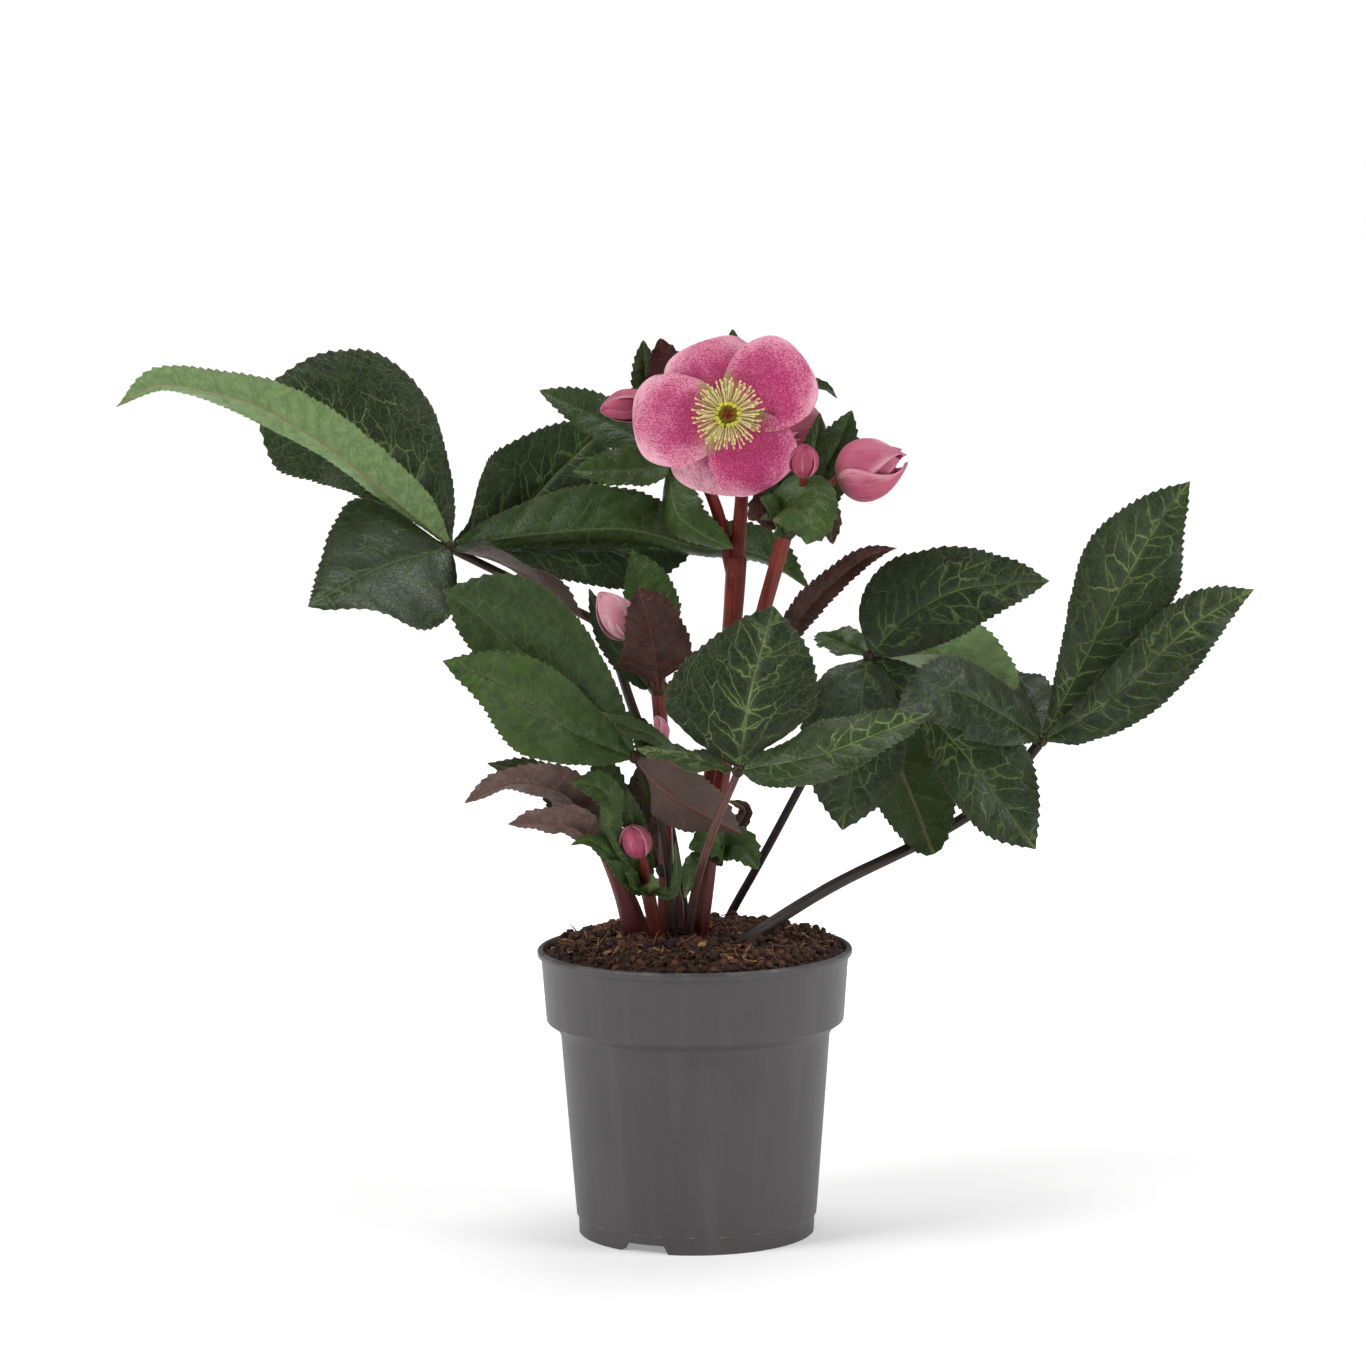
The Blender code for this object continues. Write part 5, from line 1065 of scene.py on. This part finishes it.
def fine_sepal(gathered, turn, length, width, lift, curl, pale, place, seed, speckle=1.0):
    """A broad rounded sepal drawn facing +Z."""
    rows, cols = 46, 15
    a = math.radians(turn)
    out = np.array([math.cos(a), math.sin(a), 0.0])
    points = [out * 3 + (0, 0, lift[0]), out * length * 0.5 + (0, 0, lift[1]), out * length + (0, 0, lift[2])]
    t = (1 - np.cos(math.pi * np.linspace(0, 1, rows))) / 2
    m, d = along_line(smooth_line(points, FINE_STEPS), t)
    n = rows_unit(np.array([[0, 0, 1.0]]) - d[:, 2:] * d)
    s = np.cross(d, n)
    half = width / 2 * lobe(t, SEPAL_WIDEST, SEPAL_BLUNT) + 4.0 * (1 - t) ** 4
    half[-1] = 0.3
    v = np.linspace(-1, 1, 2 * cols - 1)[None, :]
    av = np.abs(v)
    fold, c = math.radians(5), math.radians(curl)
    h = half[:, None]
    x = h * (np.sin(fold + c * av) - math.sin(fold)) / c
    z = h * (math.cos(fold) - np.cos(fold + c * av)) / c
    down = t[:, None]
    z = z + av ** 2 * np.minimum(1.0, h / 8) * np.sin(3 * math.pi * down + turn + 2.1 * (v > 0))
    z = z + 0.8 * av ** 5 * np.sin(7.3 * down * math.pi + 1.3 * turn + 1.7 * (v > 0)) * np.minimum(1, h / 12)
    folds = np.array([[noise.noise(Vector((q * 1.6, w * 2.6, turn * 0.37))) for w in v[0]] for q in t])
    z = z + folds * np.minimum(1.0, h / 10)
    notch = np.array([[noise.noise(Vector((q * 4.0, math.copysign(2.0, w), turn * 0.7))) for w in v[0]]
                      for q in t])
    x = x * (1 + 0.03 * notch * av ** 4)
    grid = m[:, None] + s[:, None] * (np.sign(v) * x)[..., None] + n[:, None] * z[..., None]
    share = np.broadcast_to(v, z.shape)
    ts = np.broadcast_to(t[:, None], z.shape)
    petal_sheet(gathered, grid, PETAL_THICK, ts, share, pale, speckle, 1.0, seed, place, flip=True)


def wrap_petal(gathered, base, axis, radius, turn, reach, start, stop, layer, flare, pale, seed, lift,
               green=0.4, fat=0.85):
    """One petal wrapped round a bud: from start to stop along its axis, covering reach radians."""
    rows, cols = 26, 17
    length = np.linalg.norm(axis)
    w = axis / length
    u = unit(np.cross(w, (0.2, 0.9, 0.3)))
    v = np.cross(w, u)
    t = np.linspace(0, 1, rows)
    q = np.linspace(-1, 1, cols)
    tt, qq = np.meshgrid(t, q, indexing="ij")
    run = start + (stop - start) * tt
    swell = np.sin(math.pi * np.clip(run, 0.0, 1.0) ** fat) ** 0.72
    wide = np.sin(math.pi * np.clip(0.06 + 0.94 * tt, 0, 1) ** 0.62) ** 0.55
    wide = np.where(tt > 0.995, 0.03, wide)
    angle = turn + reach * qq * wide + 0.35 * tt
    r = radius * swell * (0.9 + 0.05 * layer) + 0.35 * layer
    r = (r + lift * np.abs(qq) ** 3 * wide * radius * 0.12
         + flare * radius * np.clip((tt - 0.55) / 0.45, 0, 1) ** 2)
    r = r + 0.25 * np.sin(5 * qq + seed) * wide + 0.2 * np.sin(9 * tt + 3 * qq + seed)
    r = np.maximum(r, 0.25 + 0.1 * layer)
    z = length * (run - 0.05 * np.abs(qq) ** 2 * tt)
    out = np.cos(angle)[..., None] * u + np.sin(angle)[..., None] * v
    grid = base + w * z[..., None] + r[..., None] * out
    petal_sheet(gathered, grid, 0.55, tt, qq, pale, 0.12, green, seed, None, flip=False)


# The half-open bud's petals: turn, start and stop along the bud, layer, flare of the tip, lift of the edges.
ROSE_PETALS = [
    (0.9, 0.02, 0.93, 0, 0.22, 0.8), (3.0, 0.02, 0.96, 0, 0.18, 0.8), (5.1, 0.02, 0.94, 0, 0.2, 1.0),
    (4.5, 0.0, 0.98, 1, 0.1, 1.0), (0.2, 0.0, 0.97, 2, 0.12, 1.2), (2.3, 0.0, 0.99, 3, 0.02, 1.2),
]


def make_bud(name, base, tip, radius, slot, pale):
    """A bud: a rounded core with petals wrapped round it."""
    held = Gathered()
    base = np.array(base, float)
    axis = np.array(tip, float) - base
    long = np.linalg.norm(axis)
    if name == "bud_rose":
        lump(held, base + axis * 0.42, (radius * 0.62, long * 0.4), axis, 3.0, (pale, 0.3, 0.2),
             (0.5, 0.0, 0.2), 0.05, (20, 14))
        for k, (turn, start, stop, layer, flare, lift) in enumerate(ROSE_PETALS):
            wide = radius * (0.8 if layer == 0 else 0.88)
            wrap_petal(held, base, axis, wide, turn, 1.3, start, stop, layer, flare,
                       pale + 0.1 * math.sin(k * 2.0), 2.0 + k, lift, 0.7, 0.72)
    else:
        lump(held, base + axis * 0.47, (radius * 0.8, long * 0.47), axis, 3.0, (pale, 0.1, 0.8),
             (0.5, 0.0, 0.2), 0.03, (20, 14))
        petals, reach = (3, 1.25) if radius < 5 else (5, 1.0)
        for k in range(petals):
            turn = 2 * math.pi * k / petals * 2 + 0.6
            wrap_petal(held, base, axis, radius * 0.96, turn, reach, 0.0, 1.0 - 0.015 * (k % 2), k % 3, 0.0,
                       pale + 0.15 * math.sin(k * 1.7), 4.0 + k + radius, 0.35, 0.6)
    return held.build(name + "_petals", PETAL, name, 60)


def make_pot():
    """The wall and floor as one turned profile, with notches in the foot and drain holes."""
    def softened(corners, cut):
        """Rounds each corner of a profile by a short curve."""
        out = [corners[0]]
        for a, b, c in zip(corners, corners[1:], corners[2:]):
            a, b, c = np.array(a), np.array(b), np.array(c)
            back = min(cut, np.linalg.norm(a - b) * 0.4)
            on = min(cut, np.linalg.norm(c - b) * 0.4)
            p, q = b + unit(a - b) * back, b + unit(c - b) * on
            for s in (0.0, 0.33, 0.67, 1.0):
                out.append(tuple((1 - s) ** 2 * p + 2 * s * (1 - s) * b + s * s * q))
        out.append(corners[-1])
        return out

    corners = POT_OUTSIDE + POT_INSIDE
    wall = softened(corners, 0.9)
    ribs = []
    for (r0, z0), (r1, z1) in zip(wall, wall[1:]):
        ribs.append((r0, z0))
        steps = int(math.hypot(r1 - r0, z1 - z0) / 9)
        for k in range(1, steps):
            ribs.append((r0 + (r1 - r0) * k / steps, z0 + (z1 - z0) * k / steps))
    ribs.append(wall[-1])
    under = POT_UNDERSIDE[0][1]
    floor = [(r, FLOOR_TOP) for r in FLOOR_RINGS] + [(r, under) for r in reversed(FLOOR_RINGS)]
    profile = ribs + floor + POT_UNDERSIDE
    verts = []
    for r, z in profile:
        for k in range(POT_SEGMENTS):
            a = 2 * math.pi * (k + 0.5) / POT_SEGMENTS
            turn = (math.degrees(a) - NOTCH_TURN + NOTCH_STEP / 2) % NOTCH_STEP - NOTCH_STEP / 2
            off = abs(math.radians(turn)) * FOOT_RADIUS
            share = (NOTCH_WIDTH / 2 + NOTCH_RAMP - off) / (2 * NOTCH_RAMP)
            cut = NOTCH_HEIGHT * min(1.0, max(0.0, share))
            at_foot = r > FOOT_INSIDE and z < 0.01
            verts.append((r * math.cos(a), r * math.sin(a), max(z, cut) if at_foot else z))
    held = Gathered()
    held.add(verts, ring_faces(len(profile), POT_SEGMENTS, closed=True))
    ob = held.build("pot_moulded", POT, "pot", 40)
    tools = bpy.data.collections.new("drains")
    bpy.context.scene.collection.children.link(tools)
    for k in range(DRAIN_HOLES):
        a = 2 * math.pi * k / DRAIN_HOLES
        mesh = bpy.data.meshes.new("drain")
        bm = bmesh.new()
        centre = Matrix.Translation(
            (DRAIN_CIRCLE * math.cos(a) * MM, DRAIN_CIRCLE * math.sin(a) * MM, (FLOOR_TOP + under) / 2 * MM))
        bmesh.ops.create_cone(bm, cap_ends=True, segments=28, radius1=DRAIN_RADIUS * MM,
                              radius2=DRAIN_RADIUS * MM, depth=6 * MM, matrix=centre)
        bm.to_mesh(mesh)
        bm.free()
        tools.objects.link(bpy.data.objects.new("drain", mesh))
    mod = ob.modifiers.new("drain", "BOOLEAN")
    mod.operation = "DIFFERENCE"
    mod.solver = "EXACT"
    mod.operand_type = "COLLECTION"
    mod.collection = tools
    bpy.context.view_layer.update()
    done = bpy.data.meshes.new_from_object(ob.evaluated_get(bpy.context.evaluated_depsgraph_get()))
    ob.modifiers.clear()
    ob.data = done
    for tool in list(tools.objects):
        bpy.data.objects.remove(tool, do_unlink=True)
    bpy.data.collections.remove(tools)
    return ob


def mix_height(x, y):
    """Height of the lumpy top of the growing mix."""
    r = math.hypot(x, y) / MIX_RADIUS
    z = MIX_AT_WALL
    fade = min(1.0, max(0.0, (1.0 - r) / 0.04))
    z += (MIX_AT_CROWN - MIX_AT_WALL) * (1 - min(r, 1.0) ** 4)
    z += fade * 2.6 * noise.noise(Vector((x * 0.11, y * 0.11, 4.0)))
    z += fade * 1.6 * noise.noise(Vector((x * 0.33, y * 0.33, 9.0)))
    z += fade * 1.2 * noise.noise(Vector((x * 0.9, y * 0.9, 2.0)))
    return z


def make_mix():
    """Growing mix: a lumpy body, and on it crumbs, chips and fibres."""
    held = Gathered()
    rings, segments = 84, 150
    top = MIX_RADIUS
    profile = [(0.5, FLOOR_TOP + 0.4), (61.9, FLOOR_TOP + 0.4), (70.6, 107.8), (78.2, 117.4), (top, 152.0)]
    verts = []
    for r, z in profile:
        for k in range(segments):
            a = 2 * math.pi * k / segments
            verts.append((r * math.cos(a), r * math.sin(a), z))
    for i in range(rings):
        r = top * (1 - i / rings) + 0.25
        for k in range(segments):
            a = 2 * math.pi * k / segments
            x, y = r * math.cos(a), r * math.sin(a)
            grit = 1.2 * noise.noise(Vector((x * 2.1, y * 2.1, 7.0))) if i > 1 else 0
            verts.append((x, y, mix_height(x, y) + grit))
    held.add(verts, ring_faces(len(profile) + rings, segments), tone=(0.12, 0, 0))
    body = held.build("growing_mix_body", EARTH, "growing_mix", 70)

    rng = np.random.default_rng(11)

    def scatter(share):
        r = top * math.sqrt(rng.random()) * share
        a = 2 * math.pi * rng.random()
        return r * math.cos(a), r * math.sin(a)

    ico_points, ico_faces = ico()
    held = Gathered()
    for _ in range(CRUMBS):
        x, y = scatter(0.985)
        size = 0.6 + 2.7 * rng.random() ** 2.8
        if math.hypot(x, y) > top - size:
            continue
        stretch = np.array([1.0, 0.55 + 0.5 * rng.random(), 0.45 + 0.4 * rng.random()]) * size
        points = ico_points * (1 + 0.3 * (rng.random((12, 1)) - 0.5)) * stretch
        points = points @ turn_matrix(rng.random(3) * (6.28, 1.0, 6.28))
        height = mix_height(x, y) + size * (0.1 + 0.5 * rng.random())
        shade = rng.random() ** 2.6
        pale = 0.75 if rng.random() < 0.018 else 0.0
        held.add(points + (x, y, height), ico_faces, tone=(shade, pale, 0))
    for _ in range(CHUNKS):
        x, y = scatter(0.92)
        size = 2.2 + 2.4 * rng.random() ** 2
        stretch = np.array([1.0, 0.5 + 0.4 * rng.random(), 0.35 + 0.35 * rng.random()]) * size
        points = ico_points * (1 + 0.45 * (rng.random((12, 1)) - 0.5)) * stretch
        points = points @ turn_matrix(rng.random(3) * (6.28, 0.9, 6.28))
        height = mix_height(x, y) + size * 0.25
        held.add(points + (x, y, height), ico_faces, tone=(rng.random() ** 3, 0.0, 0))
    held.build("growing_mix_crumbs", EARTH, None, 25)

    held = Gathered()
    for k in range(CHIPS):
        x, y = scatter(0.93)
        long, wide, thick = 1.6 + 3.4 * rng.random() ** 2, 0.9 + 1.8 * rng.random(), 0.35 + 0.5 * rng.random()
        pale = 0.85 * rng.random() ** 3
        if k == 0:
            x, y, long, wide, thick, pale = -1.0, -57.0, 4.6, 2.6, 0.7, 1.0
        corners, faces = chip(rng, long, wide, thick)
        tilt = (rng.random() * 0.9 - 0.45, rng.random() * 0.9 - 0.45, rng.random() * 6.28)
        points = corners @ turn_matrix(tilt) + (x, y, mix_height(x, y) + 1.1)
        held.add(points, faces, tone=(0.4 + 0.6 * rng.random(), pale, 0))
    held.build("growing_mix_chips", EARTH, None, 25)

    held = Gathered()
    for _ in range(FIBRES):
        x, y = scatter(0.9)
        way = 2 * math.pi * rng.random()
        long = 3.0 + 9.0 * rng.random() ** 1.6
        bend = rng.random() * 1.6 - 0.8
        rise = rng.random() ** 2 * 6.0
        points = []
        for q in (-0.5, -0.17, 0.17, 0.5):
            px = x + long * q * math.cos(way + bend * q)
            py = y + long * q * math.sin(way + bend * q)
            if math.hypot(px, py) > top - 0.8:
                px, py = px * 0.93, py * 0.93
            points.append((px, py, mix_height(px, py) + 0.7 + rise * (q + 0.5)))
        thin = 0.16 + 0.22 * rng.random()
        fine_tube(held, points, (thin, thin * 1.2, thin * 0.5), rng.random() * 9, 5, 1.4, 0.0,
                  (0.6 + 0.4 * rng.random(), 0.8 * rng.random() ** 1.6, 0), NONE, 0.0)
    held.build("growing_mix_fibres", EARTH, None, 60)
    return body


def ico():
    """Points and faces of a grain with 20 sides."""
    bm = bmesh.new()
    bmesh.ops.create_icosphere(bm, subdivisions=1, radius=1.0)
    points = np.array([v.co for v in bm.verts])
    faces = [tuple(v.index for v in f.verts) for f in bm.faces]
    bm.free()
    return points, faces


def turn_matrix(angles):
    """Turns rows of points about X, then Y, then Z."""
    a, b, c = angles
    rx = np.array([[1, 0, 0], [0, math.cos(a), -math.sin(a)], [0, math.sin(a), math.cos(a)]])
    ry = np.array([[math.cos(b), 0, math.sin(b)], [0, 1, 0], [-math.sin(b), 0, math.cos(b)]])
    rz = np.array([[math.cos(c), -math.sin(c), 0], [math.sin(c), math.cos(c), 0], [0, 0, 1]])
    return (rz @ ry @ rx).T


def chip(rng, long, wide, thick):
    """A flat splinter of bark with uneven corners."""
    points = []
    for z in (-thick / 2, thick / 2):
        for k in range(6):
            a = 2 * math.pi * k / 6
            r = 0.75 + 0.5 * rng.random()
            points.append((long * r * math.cos(a), wide * r * math.sin(a), z + 0.3 * rng.random()))
    faces = [(0, 5, 4, 3, 2, 1), (6, 7, 8, 9, 10, 11)]
    faces += [(k, (k + 1) % 6, 6 + (k + 1) % 6, 6 + k) for k in range(6)]
    return np.array(points), faces


def make_stems():
    """Stems and stalks with their branches, the low shoot and the crown's sheath."""
    for i, (name, (points, radii)) in enumerate(STEMS.items()):
        held = Gathered()
        red = name.startswith("stem")
        fine_tube(held, points, radii, seed=i * 1.3, sides=22 if red else 16, ribs=0.05 if red else 0.03)
        for k, (p, r) in enumerate(BRANCHES.get(name, {}).values()):
            fine_tube(held, p, r, seed=i + k * 0.7, sides=16, ribs=0.04)
        mat, slot = (RED_STEM, "red_stem") if red else (DARK_STALK, "dark_stalk")
        if name == "stalk_front":
            mat, slot = BROWN_STALK, "brown_stalk"
        held.build(name + "_skin", mat, name, 60)
    held = Gathered()
    fine_tube(held, *SHOOTS["shoot_low"], seed=5.0)
    held.build("shoot_low_skin", RED_STEM, "shoot_low", 60)
    held = Gathered()
    fine_tube(held, *SHOOTS["crown_sheath"], seed=8.0, sides=18, ribs=0.08)
    held.build("crown_sheath_skin", SHEATH, "crown_sheath", 60)


def make_leaves():
    """Each leaf: its leaflets, and the knuckle where they meet its stalk."""
    for i, (name, (slot, hub, radius, leaflets)) in enumerate(LEAVES.items()):
        held = Gathered()
        mat, spacing = (DARK_LEAF, 20.0) if slot == "dark_leaf" else (MID_LEAF, 16.0)
        knuckle = radius * HUB_SHARE
        lump(held, hub, (knuckle, knuckle), UP, i, (0.1, 0.0, 0.0), (0.6, 0.3, 0.0), 0.12, (20, 14))
        for k, leaflet in enumerate(leaflets):
            one = dict(leaflet)
            reach = np.array(one.pop("to"), float)
            base = np.array(hub) + unit(reach[0] - hub) * radius * 0.4
            fine_blade(held, points=[base, *reach], seed=i * 7.0 + k * 1.7, spacing=spacing, **one)
        held.build(name + "_blades", mat, name, 50)


def make_bracts():
    """Each group of bracts, with the collar that joins it to its stem."""
    for i, (name, (slot, stem, branch, along, bracts)) in enumerate(BRACTS.items()):
        points, radii = SHOOTS[stem] if stem in SHOOTS else STEMS[stem]
        if branch:
            points, radii = BRANCHES[stem][branch]
        line = smooth_line(points, 101)
        at = int(along * 100)
        centre = line[at]
        axis = unit(line[min(at + 4, 100)] - line[max(at - 4, 0)])
        radius = float(np.interp(at / 100, np.linspace(0, 1, len(radii)), radii))
        half = axis * COLLAR_HEIGHT / 2
        held = Gathered()
        fine_tube(held, [centre - half, centre, centre + half],
                  (radius + 0.9, radius + COLLAR_WALL, radius + 0.9), i, 18, 1.0, 0.05, (0.3, 0.0, 0.0),
                  (0.6, 0.5, 0.0))
        for k, bract in enumerate(bracts):
            one = dict(bract)
            reach = np.array(one.pop("to"), float)
            out = reach[0] - centre
            out = unit(out - np.dot(out, axis) * axis)
            base = centre + out * (radius + 0.55 * COLLAR_WALL + 0.2)
            one.setdefault("wave", 1.0)
            fine_blade(held, points=[base, *reach], seed=60 + i * 5.0 + k * 1.3, spacing=9.0, relief=0.3,
                       tooth=1.2, **one)
        held.build(name + "_blades", BRACT, name, 50)


def make_bloom():
    """The open bloom and the one behind it, drawn facing +Z and turned into place."""
    def at_front(p):
        return place_facing(p, BLOOM_AT, BLOOM_FACE)

    def at_back(p):
        return place_facing(p, BACK_BLOOM_AT, BACK_BLOOM_FACE)

    def add_disc(held, place, height, radii, seed, tone, stain, steps):
        part = Gathered()
        lump(part, (0, 0, height), radii, UP, seed, tone, stain, 0.05, steps)
        held.take(part, place)

    held = Gathered()
    for k, one in enumerate(SEPALS):
        fine_sepal(held, place=at_front, seed=20 + k * 2.3, **one)
    add_disc(held, at_front, 0.4, (7.0, 2.4), 2.0, (0.6, 0.2, 0.0), (0.0, 1.0, 0.0), (24, 10))
    held.build("bloom_sepals_fine", PETAL, "bloom_sepals", 60)

    held = Gathered()
    for k in range(5):
        lift = (1.6 * (k % 2), 8.0 + 3.0 * (k % 2), 12.0 + 4.0 * (k % 2))
        fine_sepal(held, turn=72 * k + 20, length=29, width=32, lift=lift, curl=12, pale=0.25, place=at_back,
                   seed=40 + k * 1.9, speckle=0.8)
    add_disc(held, at_back, 0.2, (5.0, 2.2), 2.0, (0.6, 0.2, 0.8), (0.0, 1.0, 0.0), (20, 8))
    held.build("back_bloom_fine", PETAL, "back_bloom", 60)

    rng = np.random.default_rng(4)
    held = Gathered()
    for k in range(STAMENS):
        a = 2 * math.pi * (k + 0.7 * rng.random()) / STAMENS
        layer = k % 3
        reach = STAMEN_REACH[layer] + 1.6 * (rng.random() - 0.5)
        rise = STAMEN_RISE[layer] + 1.8 * (rng.random() - 0.5)
        out = np.array([math.cos(a), math.sin(a), 0.0])
        side = np.array([-math.sin(a), math.cos(a), 0.0]) * (rng.random() - 0.5) * 2.4
        points = [out * 6.3 + (0, 0, 5.0), out * (reach * 0.55) + side * 0.3 + (0, 0, rise * 0.78),
                  out * (reach * 0.82) + side + (0, 0, rise), out * reach + side + (0, 0, rise + 0.2)]
        part = Gathered()
        fine_tube(part, points, (0.34, 0.3, 0.28, 0.26), k, 6, 1.5, 0.0, (0.3 + 0.5 * rng.random(), 0, 0),
                  NONE, 0.0)
        tip = np.array(points[-1]) + out * 0.6
        lump(part, tip, (0.62, 1.15), out + side * 0.2 + (0, 0, 0.3), k, (1.0, 0.65 + 0.3 * rng.random(), 0),
             NONE, 0.2, (8, 6))
        held.take(part, at_front)
    add_disc(held, at_front, 5.0, (7.3, 1.2), 1.0, (0.2, 0, 0), NONE, (24, 8))
    held.build("stamens_fine", FILAMENT, "bloom_stamens", 60)

    held = Gathered()
    for k in range(NECTARIES):
        a = 2 * math.pi * (k + 0.3 * rng.random()) / NECTARIES
        out = np.array([math.cos(a), math.sin(a), 0.0])
        part = Gathered()
        lip = 5.6 + 1.4 * rng.random()
        mouth = out * lip + (0, 0, 11.4 + 1.2 * rng.random())
        points = [out * 4.9 + (0, 0, 6.8), out * 5.5 + (0, 0, 9.2), mouth]
        fine_tube(part, points, (0.7, 1.0, 1.35), k, 10, 0.9, 0.0, (0.4 + 0.6 * rng.random(), 0, 0),
                  NONE, 0.08, 0.3)
        held.take(part, at_front)
    add_disc(held, at_front, 7.0, (6.0, 0.9), 1.0, (0.2, 0, 0), NONE, (20, 6))
    held.build("nectaries_fine", NECTARY, "bloom_nectaries", 60)

    held = Gathered()
    for k in range(CARPELS):
        a = 2 * math.pi * (k + 0.2) / CARPELS
        out = np.array([math.cos(a), math.sin(a), 0.0])
        part = Gathered()
        points = [out * 1.7 + (0, 0, 3.4), out * 2.0 + (0, 0, 9.0), out * 2.6 + (0, 0, 12.0),
                  out * 3.9 + (0, 0, 15.0)]
        fine_tube(part, points, (1.9, 1.7, 0.8, 0.45), k, 12, 0.8, 0.0, lumps=0.1)
        tone = np.vstack(part.tone).copy()
        tone[:, 0] = np.clip((np.vstack(part.points)[:, 2] - 7.0) / 4.0, 0, 1)
        held.take(part, at_front, tone)
    held.build("carpels_fine", CARPEL, "bloom_carpels", 60)


def make_stage():
    """Floor, backdrop, three area lights, and the camera fitted to the photo."""
    mesh = bpy.data.meshes.new("floor")
    mesh.from_pydata([(-9, -4, 0), (9, -4, 0), (9, 30, 0), (-9, 30, 0)], [], [(0, 1, 2, 3)])
    floor = bpy.data.objects.new("floor", mesh)
    bpy.context.scene.collection.objects.link(floor)
    mat, g, shader = new_material("floor_pale", (0.9, 0.9, 0.9))
    place = g.place()
    haze = g.noise(place, 2.0, 2.0)
    g.set(shader["Base Color"], g.mix(haze, (0.90, 0.90, 0.90), (0.93, 0.93, 0.93)))
    # Painted light: the floor glows, dimly near the pot so its cast shadow is lifted but still shows, and
    # brighter further out so the floor fades into the white backdrop.
    far = g.range(g.vector("LENGTH", place), 0.25, 1.1)
    glow = g.mix(far, (0.28, 0.28, 0.28), (0.9, 0.9, 0.9))
    g.set(shader["Emission Color"], glow)
    shader["Emission Strength"].default_value = 1.0
    shader["Roughness"].default_value = 0.9
    mesh.materials.append(mat)

    world = bpy.data.worlds.new("studio")
    bpy.context.scene.world = world
    world.use_nodes = True
    tree = world.node_tree
    back = tree.nodes["Background"]
    back.inputs[0].default_value = (1.0, 1.0, 1.0, 1.0)
    back.inputs[1].default_value = 0.17
    seen = tree.nodes.new("ShaderNodeBackground")
    seen.inputs[1].default_value = 1.0
    seen.inputs[0].default_value = (1.0, 1.0, 1.0, 1.0)
    path = tree.nodes.new("ShaderNodeLightPath")
    both = tree.nodes.new("ShaderNodeMixShader")
    tree.links.new(path.outputs["Is Camera Ray"], both.inputs[0])
    tree.links.new(back.outputs[0], both.inputs[1])
    tree.links.new(seen.outputs[0], both.inputs[2])
    tree.links.new(both.outputs[0], tree.nodes["World Output"].inputs[0])

    def light(name, at, size, power):
        lamp = bpy.data.lights.new(name, "AREA")
        lamp.shape = "RECTANGLE"
        lamp.size, lamp.size_y = size
        lamp.energy = power
        ob = bpy.data.objects.new(name, lamp)
        ob.location = at
        ob.rotation_mode = "QUATERNION"
        ob.rotation_quaternion = (LIGHTS_AIM - Vector(at)).to_track_quat("-Z", "Y")
        bpy.context.scene.collection.objects.link(ob)

    light("key", (-1.6, -0.9, 1.7), (0.9, 1.1), 28)
    light("fill", (1.7, -0.7, 1.3), (0.9, 1.2), 18)
    light("top", (0.2, 0.5, 2.0), (1.2, 0.8), 15)

    camera = bpy.data.cameras.new("camera")
    camera.lens = 36 * FOCAL / PHOTO_WIDTH
    camera.sensor_width = 36
    camera.clip_start = 0.1
    camera.clip_end = 50
    eye = bpy.data.objects.new("camera", camera)
    bpy.context.scene.collection.objects.link(eye)
    eye.matrix_world = (Matrix.Translation((-0.0052, -2.449, 0.577))
                        @ Matrix.Rotation(math.radians(83.5), 4, "X")
                        @ Matrix.Rotation(math.radians(-0.45), 4, "Z"))
    bpy.context.scene.camera = eye
    bpy.context.scene.view_settings.view_transform = "Standard"


make_pot()
make_mix()
make_stems()
make_leaves()
make_bracts()
make_bloom()
for bud_name, bud in BUDS.items():
    make_bud(bud_name, *bud)
make_stage()
bpy.context.view_layer.update()
